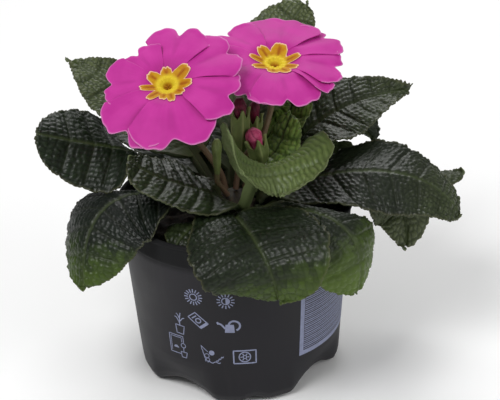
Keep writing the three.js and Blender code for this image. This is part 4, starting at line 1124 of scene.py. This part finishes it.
def face_height(radius):
    """The bloom's face: a shallow cone down to the throat, rounded where it meets the outer face, which
    falls away as a square."""
    inside = FUNNEL_RADIUS - radius
    cone = 0.5 * FUNNEL_DEPTH / FUNNEL_RADIUS * (inside + np.sqrt(inside**2 + 1.4))
    return -cone - FACE_FALL * (np.maximum(0, -inside) / FACE_REACH) ** 2


def petal_surface(bloom, number, rows):
    """One petal, a heart with its point at the eye. Its outline is the petal's reach less a bell at
    the notch and less the fourth power of v towards the edges. One edge rises over the neighbour and
    the other dips under the next, over the face of the bloom, and soft folds run out from the eye."""
    direction, long, half_angle = bloom["petals"][number]
    q = (1 - (1 - np.linspace(-0.06, 1, rows)) ** 1.15)[:, None]
    v = np.linspace(-1, 1, rows + 9)[None, :]
    nibble = 0.012 * np.sin(11 * v + 2.3 * number) + 0.008 * np.sin(23 * v + number)
    reach = long * (1 - PETAL_NOTCH * bell(v, NOTCH_WIDTH) - PETAL_SHOULDER * v**4 + nibble * (1 - v**2))
    radius = CLAW_RADIUS + (reach - CLAW_RADIUS) * q
    angle = np.radians(direction + v * mix(CLAW_HALF_ANGLE, half_angle, smooth(q, 0, PETAL_OPEN)))
    outer = smooth(radius, FUNNEL_RADIUS, FUNNEL_RADIUS + 5)
    ruffle = PETAL_RUFFLE * outer * q * np.sin(4.5 * v + 1.7 * number)
    folds = outer * (0.2 * np.sin(7 * v + 2.1 * number) * q - 0.4 * bell(v, 0.2) * q)
    lip = 0.5 * smooth(q, 0.86, 1) * np.sin(7 * v + 0.9 * number)
    height = face_height(radius) - mix(0.12, PETAL_TILT, outer) * v + ruffle + folds + lip
    upper = turned_point(radius, height, angle)
    side = smooth(np.maximum(q, np.abs(v)), 0.86, 1.0)
    thick = PETAL * mix(0.85, 0.3, side)
    lower = upper - np.stack([0 * thick, 0 * thick, thick], axis=-1)
    rings = np.concatenate([upper, lower[:, ::-1]], axis=1)
    # Painted highlight: the rim mark lightens the petal's outer margin, where light catches the frilled
    # edge.
    rim = smooth(q, 0.972, 1.0) + 0 * v
    # Painted shade: the crease mark darkens the fold down the petal's middle.
    crease = bell(v, 0.11) * smooth(q, 0.2, 0.45) * (1 - smooth(q, 0.6, 1)) + 0 * q
    under_edge = smooth(v, 0.55, 1.0) * (1 - smooth(q, 0.5, 1.0))
    shade = np.clip(under_edge + 0.8 * (1 - smooth(q, 0.0, 0.35)), 0, 1)
    ray = 0.5 + 0.5 * np.sin(38 * v + 3 * q) * (1 - q)
    marks = {"rim": rim, "crease": crease, "shade": shade, "ray": ray}
    both_skins = {
        name: np.concatenate([mark, mark[:, ::-1]], axis=1) for name, mark in marks.items()
    }
    return skin(rings, None, None, both_skins)


def petals_surfaces(bloom, rows):
    """All the petals of a bloom and the disc that joins them, round the hole of the tube."""
    hole = TUBE_RADIUS + CLEARANCE
    lines = np.array([
        (hole, -DISC_THICKNESS), (DISC_RADIUS - 0.3, -DISC_THICKNESS), (DISC_RADIUS, -0.6),
        (DISC_RADIUS - 0.3, -DISC_SINK), (hole, -DISC_SINK),
    ])[:, :, None]
    lines[:, 1] += face_height(lines[:, 0])
    rings = turned_point(lines[:, 0], lines[:, 1], round_turn(DISC_ROUND))
    count, around = rings.shape[:2]
    index = np.arange(count * around).reshape(count, around)
    after, up = np.roll(index, -1, axis=1), np.roll(index, -1, axis=0)
    quads = np.stack([index, after, np.roll(up, -1, axis=1), up], axis=-1).reshape(-1, 4)
    disc = (rings.reshape(-1, 3), quads, np.zeros((0, 3), int), {"shade": np.ones(count * around)})
    parts = [disc] + [petal_surface(bloom, k, rows) for k in range(len(bloom["petals"]))]
    return [placed(part, bloom["at"], bloom["faces"]) for part in parts]


def eye_surface(bloom):
    """The yellow eye: a thin star on the funnel, each lobe standing out from a round root by the third
    power of its angle and creased down its middle, with knobs round the throat, five anthers in it and
    the tube below."""
    low = 0.2
    angle = round_turn(EYE_ROUND)
    middle, far, half = np.array(bloom["star"], float).T[:, :, None]
    off = angle - np.radians(middle)
    off = np.arctan2(np.sin(off), np.cos(off))
    stands = (far - EYE_ROOT) * np.exp(-(np.abs(off / np.radians(1.18 * half)) ** 3))
    best = stands.argmax(axis=0)[None]
    off = np.take_along_axis(off, best, 0)[0]
    reach = EYE_ROOT + stands.max(axis=0) + 0.12 * np.cos(29 * angle) - 0.35 * bell(off, 0.035)
    floor = -FUNNEL_DEPTH - TUBE_LENGTH
    tube = [
        (TUBE_RADIUS * 0.6, floor), (TUBE_RADIUS, floor + 0.6), (TUBE_RADIUS, -6.5),
        (TUBE_RADIUS, -4.2),
    ]
    share = np.linspace(1, 0.02, 44)[:, None]
    radius = share * reach
    body = 1 - share**6
    plate = 0.1 + 0.3 * body - 0.22 * bell(off * radius, 0.3) * smooth(radius, 3.2, 4.6) * body
    plate += 0.12 * np.sin(13 * angle) * bell(radius - 4.2, 0.9)
    knob = bell(radius - THROAT_RADIUS + 0.2, 0.7) * (0.72 + 0.28 * np.cos(10 * angle))
    throat = 1 - smooth(radius, 0.9, 2.0)
    anther = bell(radius - 0.75, 0.4) * np.clip(np.cos(5 * angle), 0, 1)
    top = face_height(radius) + low + plate + 0.8 * knob - 0.9 * throat + 0.8 * anther
    below = np.stack([turned_point(r, z, angle) for r, z in tube])
    under = turned_point(reach * 0.99, face_height(reach) + low - 0.05, angle)[None]
    rings = np.concatenate([below, under, turned_point(radius, top, angle)])
    blank = np.zeros((len(tube) + 1, EYE_ROUND))

    def mark(values):
        return np.concatenate([blank, np.broadcast_to(values, radius.shape)])

    marks = {
        "rim": mark(smooth(share * reach, reach - 0.75, reach - 0.1)),
        "knob": mark(np.clip(knob + 0.8 * (1 - smooth(radius, 3.6, 5.2)) * (1 - throat), 0, 1)),
        # Painted shade: the throat mark darkens the opening of the tube, less on the anthers that stand in
        # it.
        "throat": mark(throat - 0.8 * anther),
        "crease": mark(
            bell(off * radius, 0.7) * smooth(radius, 3.0, 4.6) * (1 - smooth(share, 0.75, 0.97))
        ),
    }
    surface = skin(rings, [0, 0, floor], [0, 0, top[-1].mean()], marks, turned=True)
    return placed(surface, bloom["at"], bloom["faces"])


def calyx_surface(radius, long, room):
    """A calyx cup about +Z: five ribs by a cosine, bulging between, and five pointed teeth whose
    height is a power of the same cosine. The inside is plain."""
    angle = round_turn(CALYX_ROUND)
    rib = np.cos(5 * angle)
    keel = bell(np.arcsin(np.sin(2.5 * angle)) / 2.5 * radius, 0.35)
    t = np.linspace(0, 1, 26)[:, None]
    bulge = 0.45 + 0.57 * np.sin(np.minimum(t, 0.62) / 0.62 * math.pi / 2)
    body = radius * bulge * (1 + 0.09 * rib + 0.05 * keel)
    tooth = (1.1 * (rib - 0.4) + 1.6 * np.clip(rib, 0, 1) ** 2) * smooth(t, 0.72, 1)
    flare = 1 + 0.10 * smooth(t, 0.85, 1)
    outside = turned_point(body * flare, 0.2 + (long - 0.2) * t + tooth, angle)
    inner_t = np.linspace(1, 0.16, 12)[:, None]
    inner = np.minimum(room, 0.86 * radius * (0.5 + 0.7 * inner_t)) * mix(1.0, 1.04, inner_t)
    inner_tooth = (1.1 * (rib - 0.4) + 1.5 * np.clip(rib, 0, 1) ** 2) * smooth(inner_t, 0.8, 1) - 0.15
    inside = turned_point(inner, long * inner_t + inner_tooth, angle)
    rings = np.concatenate([outside, inside])
    keel = np.broadcast_to(keel, outside.shape[:2])
    marks = {
        "keel": np.concatenate([keel, np.zeros(inside.shape[:2])]),
        "tip": np.concatenate([smooth(t, 0.7, 1.0) * np.ones(len(angle)), np.ones(inside.shape[:2])]),
    }
    return skin(rings, [0, 0, 0], [0, 0, long * 0.14], marks, turned=True)


def stalk_surface(points, radius):
    """A tube along the curve through points, thicker at its foot, with fine lengthwise ridges."""
    path = curve_through(points, 60)
    ahead = unit(np.gradient(path, axis=0))
    side = unit(np.cross([0.0, 1.0, 0.0], ahead))
    other = np.cross(ahead, side)
    angle = round_turn(STALK_ROUND)[None, :, None]
    t = np.linspace(0, 1, len(path))[:, None, None]
    thick = radius * (1 + 0.12 * np.exp(-8 * t) + 0.03 * np.cos(6 * angle) + 0.03 * np.sin(9 * t))
    around = np.cos(angle) * side[:, None] + np.sin(angle) * other[:, None]
    rings = path[:, None] + thick * around
    marks = {"stem": np.ones(rings.shape[:2]), "blush": (1 - 0.4 * t[..., 0]) + 0 * angle[..., 0]}
    return skin(rings, path[0], path[-1], marks, turned=True)


def down_hairs(part, count, long, salt):
    """Short hairs on a surface at points drawn by number, each near the outward way there."""
    points, quads = part[0], part[1]
    corner = points[quads]
    middle = corner.mean(1)
    out = unit(np.cross(corner[:, 2] - corner[:, 0], corner[:, 3] - corner[:, 1]))
    pick = (lot(np.arange(count, dtype=float), 3.0, salt) * len(quads)).astype(int)
    drawn = np.stack([lot(pick * 1.0, k, salt) for k in (1.0, 2.0, 3.0)], axis=-1)
    ways = unit(out[pick] + HAIR_TURN * (drawn - 0.5))
    return hairs(middle[pick], ways, long, HAIR_THICKNESS)


def foot_on_crown(spot):
    """The point just over the crown's dome at x and y."""
    share = math.hypot(*spot) / CROWN_RADIUS
    dome = (CROWN_TOP - CROWN_SHOULDER) * math.sqrt(1 - share**2)
    return (*spot, CROWN_SHOULDER + dome + ROOT_CLEARANCE)


def beyond(place, axis, distance):
    return np.array(place, float) + distance * unit(np.array(axis, float))


def stem_surfaces(bloom, salt):
    """A bloom's calyx with its stalk down to the crown, and their down of short hairs."""
    drop = FUNNEL_DEPTH + TUBE_LENGTH + CALYX_DROP
    foot = beyond(bloom["at"], bloom["faces"], -drop)
    calyx = calyx_surface(CALYX_RADIUS, CALYX_LENGTH, TUBE_RADIUS + CLEARANCE)
    calyx = placed(calyx, foot, bloom["faces"])
    neck = beyond(bloom["at"], bloom["faces"], -drop - NECK_DROP)
    inside = beyond(foot, bloom["faces"], 1)
    stalk = stalk_surface([foot_on_crown(bloom["stands"]), *bloom["bends"], neck, inside], STALK_RADIUS)
    return [calyx, stalk, down_hairs(calyx, 260, 0.6, salt), down_hairs(stalk, 420, 0.7, salt + 1)]


def bud_stem_surfaces(bud, head, salt):
    """A bud's calyx, or the whole closed bud, with its stalk and their down."""
    head = placed(head, bud["at"], bud["points"])
    up = beyond(bud["at"], bud["points"], -3)
    inside = beyond(bud["at"], bud["points"], 0.8)
    stalk = stalk_surface([foot_on_crown(bud["stands"]), bud["bends"], up, inside], BUD_STALK_RADIUS)
    return [head, stalk, down_hairs(head, 220, 0.55, salt), down_hairs(stalk, 160, 0.6, salt + 1)]


def furled_surface(radius, long, pleat):
    """A furled corolla or closed bud about +Z: a spindle whose five pleats wind as they rise."""
    profile = np.array([
        (0.5, 0.2 / long), (0.72, 0.3), (0.8, 0.6), (1.0, 0.76), (0.8, 0.92), (0.35, 0.985),
    ])
    t = np.linspace(profile[0, 1], 0.985, 46)
    breadth = np.interp(t, profile[:, 1], profile[:, 0])
    breadth = np.convolve(np.pad(breadth, 3, mode="edge"), np.ones(7) / 7, mode="valid")[:, None]
    t = t[:, None]
    angle = round_turn(FURLED_ROUND)
    turn = 5 * angle + 0.25 * long * t + 2.6 * smooth(t, 0.6, 1)
    fold = np.abs(np.cos(0.5 * turn)) ** 0.6 * 2 - 1
    rings = turned_point(radius * breadth * (1 + pleat * fold), long * t, angle)
    marks = {"pleat": 0.5 + 0.5 * fold, "rise": t + 0 * angle}
    return skin(rings, [0, 0, 0], [0, 0, long], marks, turned=True)


def petal_finish(bloom):
    def build(w):
        pale = (*[min(1.0, 1.12 * c + 0.01) for c in bloom.petal[:3]], 1.0)
        cloud = mottled(w, tuple(bloom.petal), pale, 0.009, 2.0)
        base = w.layers(
            # Painted shade: shade darkens the petals under the overlapping edges and by the eye, and crease
            # darkens the fold down each petal's middle.
            cloud["Color"], ("shade", 0.55, tint(150, 26, 112)), ("crease", 0.35, tint(150, 30, 116)),
            # Painted highlight: rim lightens the outer margin. ray is the petal's own veining.
            ("ray", 0.1, tint(190, 80, 156)), ("rim", 0.5, tint(226, 170, 210)),
        )
        return base, w.between(cloud["Cloud"], 0, 1, 0.55, 0.66)

    fixed = {"Specular_IOR_Level": 0.15, "Sheen_Weight": 0.06, "Sheen_Roughness": 0.4}
    return finish("petal_velvet", build, (0.0009, 0.2, 0.25, 0.00008), **fixed)


def eye_finish(bloom):
    def build(w):
        cloud = mottled(w, tint(180, 118, 12), tuple(bloom.eye), 0.0025, 3.0)
        base = w.layers(
            cloud["Color"], ("crease", 0.85, tint(152, 80, 12)), ("knob", 1.0, tint(214, 188, 44)),
            # Painted shade: the darker orange of the throat stands in for the shade in the tube's opening.
            ("throat", 0.8, tint(150, 92, 14)), ("rim", 1.0, tint(236, 196, 160)),
        )
        return base, w.between(cloud["Cloud"], 0, 1, 0.5, 0.65)

    return finish("eye_golden", build, (0.0006, 0.3, 0.4, 0.0001), Specular_IOR_Level=0.15)


def stalk_finish(bloom):
    def build(w):
        cloud = mottled(w, dimmed(bloom.stalk, 0.75), tuple(bloom.stalk), 0.004, 3.0)
        base = w.layers(
            cloud["Color"], ("keel", 0.75, tint(160, 170, 112)), ("tip", 0.5, tint(132, 150, 84))
        )
        brown = w.math("MULTIPLY", w.math("MULTIPLY", w.mark("stem"), w.mark("blush")), 0.85)
        base = w.blend(brown, base, tint(124, 88, 78))
        base = w.layers(base, ("hair", 0.8, tint(130, 134, 108)))
        return base, w.between(cloud["Cloud"], 0, 1, 0.5, 0.62)

    return finish("stalk_downy", build, (0.0006, 0.3, 0.3, 0.0001), Specular_IOR_Level=0.4)


def bud_finish(name, low, high):
    def build(w):
        cloud = mottled(w, low, high, 0.002, 3.0)
        # Painted shade: the folds where the pleats draw in are darkened towards the low colour at 0.35 of
        # its light, standing in for the shade in them.
        groove = w.between(w.mark("pleat"), 0.6, 0.0, 0.0, 0.7)
        base = w.blend(groove, cloud["Color"], dimmed(low, 0.35))
        return base, w.between(cloud["Cloud"], 0, 1, 0.5, 0.6)

    grain = (0.0006, 0.2, 0.3, 0.00008)
    return finish(name, build, grain, Specular_IOR_Level=0.35, Sheen_Weight=0.1)


# ---- Operators ----------------------------------------------------------------------------------

class PRIMROSE_OT_pot(Operator):
    """Builds the pot with its drain holes"""
    bl_idname = "primrose.pot"
    bl_label = "Pot"

    def execute(self, context):
        pot = context.scene.primrose_pot
        piece = add_piece("pot_shell", [pot_surface(pot)], pot_finish(pot), "pot_plastic", "pot")
        drills = bpy.data.objects.new("drills", mesh_of("drills", drain_drills()))
        context.scene.collection.objects.link(drills)
        cut = piece.modifiers.new("drain_holes", "BOOLEAN")
        cut.operation, cut.object, cut.solver = "DIFFERENCE", drills, "EXACT"
        graph = context.evaluated_depsgraph_get()
        mesh = bpy.data.meshes.new_from_object(piece.evaluated_get(graph))
        piece.modifiers.clear()
        piece.data = mesh
        bpy.data.objects.remove(drills)
        return {"FINISHED"}


class PRIMROSE_OT_print(Operator):
    """Lays the care signs and the plain striped panel on the pot"""
    bl_idname = "primrose.print_signs"
    bl_label = "Print"

    def execute(self, context):
        pot = context.scene.primrose_pot
        add_piece("pot_print", print_surfaces(pot), ink_finish(pot), "pot_plastic", shade=False)
        return {"FINISHED"}


class PRIMROSE_OT_soil(Operator):
    """Builds the root ball with its crumbled top"""
    bl_idname = "primrose.soil"
    bl_label = "Soil"

    def execute(self, context):
        pot = context.scene.primrose_pot
        add_piece("soil_peat", [soil_surface(pot)], soil_finish(pot), "soil", "soil")
        return {"FINISHED"}


class PRIMROSE_OT_crown(Operator):
    """Builds the crown that leaves and stalks grow from"""
    bl_idname = "primrose.crown"
    bl_label = "Crown"

    def execute(self, context):
        add_piece("crown_post", [crown_surface()], crown_finish(), "crown", "crown")
        return {"FINISHED"}


class PRIMROSE_OT_leaves(Operator):
    """Builds every leaf of the rosette"""
    bl_idname = "primrose.leaves"
    bl_label = "Leaves"

    def execute(self, context):
        sizes = context.scene.primrose_leaf
        low, high = dimmed(sizes.dark, 0.5), tuple(sizes.dark)
        dark = leaf_finish("leaf_skin_grown", low, high, tint(62, 74, 50), sizes)
        low, high = dimmed(sizes.young, 0.6), tuple(sizes.young)
        young = leaf_finish("leaf_skin_young", low, high, tint(104, 118, 74), sizes)
        for name, leaf in LEAVES.items():
            is_young = leaf.get("young", False)
            surface = leaf_surface(name, leaf, sizes)
            slot = "leaf_young" if is_young else "leaf_dark"
            add_piece(f"{name}_blade", [surface], young if is_young else dark, slot, name)
        return {"FINISHED"}


class PRIMROSE_OT_blooms(Operator):
    """Builds both blooms: petals, eye, calyx and stalk"""
    bl_idname = "primrose.blooms"
    bl_label = "Blooms"

    def execute(self, context):
        sizes = context.scene.primrose_bloom
        petal, eye, stalk = petal_finish(sizes), eye_finish(sizes), stalk_finish(sizes)
        for salt, (name, bloom) in enumerate(BLOOMS.items()):
            petals, stem = petals_surfaces(bloom, sizes.rows), stem_surfaces(bloom, 3.0 * salt)
            add_piece(f"{name}_corolla", petals, petal, "petal_pink", f"{name}_petals")
            add_piece(f"{name}_star", [eye_surface(bloom)], eye, "eye_yellow", f"{name}_eye")
            add_piece(f"{name}_stalk", stem, stalk, "stem_green", f"{name}_stem")
        return {"FINISHED"}


class PRIMROSE_OT_buds(Operator):
    """Builds the three coloured buds and the closed green one"""
    bl_idname = "primrose.buds"
    bl_label = "Buds"

    def execute(self, context):
        sizes = context.scene.primrose_bloom
        stalk = stalk_finish(sizes)
        pink = bud_finish("bud_pink_furled", tint(188, 40, 100), tint(230, 110, 150))
        wine = bud_finish("bud_wine_furled", tint(84, 12, 36), tint(128, 24, 62))
        hues = {"pink": (pink, "bud_pink"), "wine": (wine, "bud_wine")}
        for salt, (name, bud) in enumerate(BUDS.items(), 20):
            radius, long = bud["calyx"]
            if "corolla" not in bud:
                stem = bud_stem_surfaces(bud, furled_surface(radius, long, 0.06), float(salt))
                add_piece(f"{name}_whole", stem, stalk, "stem_green", name)
                continue
            petal_radius, petal_long = bud["corolla"]
            cup = calyx_surface(radius, long, petal_radius * BUD_WAIST + CLEARANCE)
            stem = bud_stem_surfaces(bud, cup, float(salt))
            add_piece(f"{name}_cup", stem, stalk, "stem_green", f"{name}_calyx")
            start = beyond(bud["at"], bud["points"], long * BUD_SEAT + CLEARANCE)
            furled = furled_surface(petal_radius, petal_long - long * BUD_SEAT, 0.07)
            material, slot = hues[bud["hue"]]
            surface = placed(furled, start, bud["points"])
            add_piece(f"{name}_furled", [surface], material, slot, f"{name}_petals")
        return {"FINISHED"}


SENSOR_WIDTH, SHIFT_X, SHIFT_Y, CLIP_START = 36, 0.031, -0.0102, 0.01
FLOOR_SIZE, LAMP_AIM = 6.0, (0, 0, 0.08)
# Each lamp's place, its size and its share of the key light's strength.
LAMPS = {
    "key_light": ((-0.45, -0.55, 1.0), 0.5, 1.0),
    "fill_light": ((0.8, -0.5, 0.6), 0.6, 0.35),
    "back_light": ((0.1, 0.8, 0.9), 0.6, 0.7),
}


class PRIMROSE_OT_stage(Operator):
    """Sets the pale floor, the soft lights and the camera"""
    bl_idname = "primrose.stage"
    bl_label = "Stage"

    def execute(self, context):
        scene, stage = context.scene, context.scene.primrose_stage
        scene.view_settings.view_transform = "Standard"
        bpy.ops.mesh.primitive_grid_add(
            x_subdivisions=2, y_subdivisions=2, size=FLOOR_SIZE, location=(0, 0, 0)
        )
        floor = context.object
        floor.name = "floor"

        def build(w):
            cloud = mottled(w, (0.93, 0.93, 0.93, 1.0), (0.95, 0.95, 0.95, 1.0), 0.5)
            return (cloud["Color"],)

        pale = finish("pale_floor", build, Roughness=0.9, Specular_IOR_Level=0.1)
        floor.data.materials.append(pale)

        world = bpy.data.worlds.new("studio")
        world.use_nodes = True
        sky = world.node_tree.nodes["Background"]
        sky.inputs["Color"].default_value = (1.0, 1.0, 1.0, 1.0)
        w = Wiring(world.node_tree)
        seen = w.node("ShaderNodeLightPath").outputs["Is Camera Ray"]
        w.tree.links.new(w.between(seen, 0.0, 1.0, stage.sky, 1.0), sky.inputs["Strength"])
        scene.world = world
        for name, (place, size, power) in LAMPS.items():
            light = bpy.data.lights.new(name, "AREA")
            light.energy, light.size = stage.key * power, size
            lamp = bpy.data.objects.new(name, light)
            scene.collection.objects.link(lamp)
            lamp.matrix_world = view_matrix(unit(np.array(place) - LAMP_AIM), place, 0.0)

        camera = bpy.data.cameras.new("camera")
        camera.lens, camera.sensor_width = stage.focal, SENSOR_WIDTH
        camera.shift_x, camera.shift_y = SHIFT_X, SHIFT_Y
        camera.clip_start = CLIP_START
        holder = bpy.data.objects.new("camera", camera)
        scene.collection.objects.link(holder)
        back = np.array([0, -math.cos(stage.elevation), math.sin(stage.elevation)])
        rim = np.array([0, 0, context.scene.primrose_pot.height])
        holder.matrix_world = view_matrix(back, rim + stage.distance * back, stage.tilt)
        scene.camera = holder
        return {"FINISHED"}


def view_matrix(back, place, tilt):
    """The place and turn of a camera or lamp that looks against back, turned by tilt about its view."""
    right = unit(np.cross([0.0, 0.0, 1.0], back))
    up = np.cross(back, right)
    c, s = math.cos(tilt), math.sin(tilt)
    right, up = right * c + up * s, up * c - right * s
    matrix = np.eye(4)
    matrix[:3, 0], matrix[:3, 1], matrix[:3, 2], matrix[:3, 3] = right, up, back, place
    return Matrix(matrix.tolist())


PIECES = (
    PRIMROSE_OT_pot, PRIMROSE_OT_print, PRIMROSE_OT_soil, PRIMROSE_OT_crown, PRIMROSE_OT_leaves,
    PRIMROSE_OT_blooms, PRIMROSE_OT_buds, PRIMROSE_OT_stage,
)


class PRIMROSE_PT_panel(Panel):
    """Lists the operators and their settings"""
    bl_label = "Primrose"
    bl_idname = "PRIMROSE_PT_panel"
    bl_space_type = "VIEW_3D"
    bl_region_type = "UI"
    bl_category = "Primrose"

    def draw(self, context):
        for name in SETTINGS:
            box = self.layout.box()
            settings = getattr(context.scene, name)
            for key in settings.__class__.__annotations__:
                box.prop(settings, key)
        for piece in PIECES:
            self.layout.operator(piece.bl_idname)


SETTINGS = {
    "primrose_pot": PotSettings,
    "primrose_leaf": LeafSettings,
    "primrose_bloom": BloomSettings,
    "primrose_stage": StageSettings,
}


def register():
    for name, settings in SETTINGS.items():
        bpy.utils.register_class(settings)
        setattr(bpy.types.Scene, name, PointerProperty(type=settings))
    for piece in (*PIECES, PRIMROSE_PT_panel):
        bpy.utils.register_class(piece)


def unregister():
    for piece in (PRIMROSE_PT_panel, *reversed(PIECES)):
        bpy.utils.unregister_class(piece)
    for name, settings in SETTINGS.items():
        delattr(bpy.types.Scene, name)
        bpy.utils.unregister_class(settings)


def main():
    register()
    for piece in PIECES:
        group, name = piece.bl_idname.split(".")
        getattr(getattr(bpy.ops, group), name)()


if __name__ == "__main__":
    main()
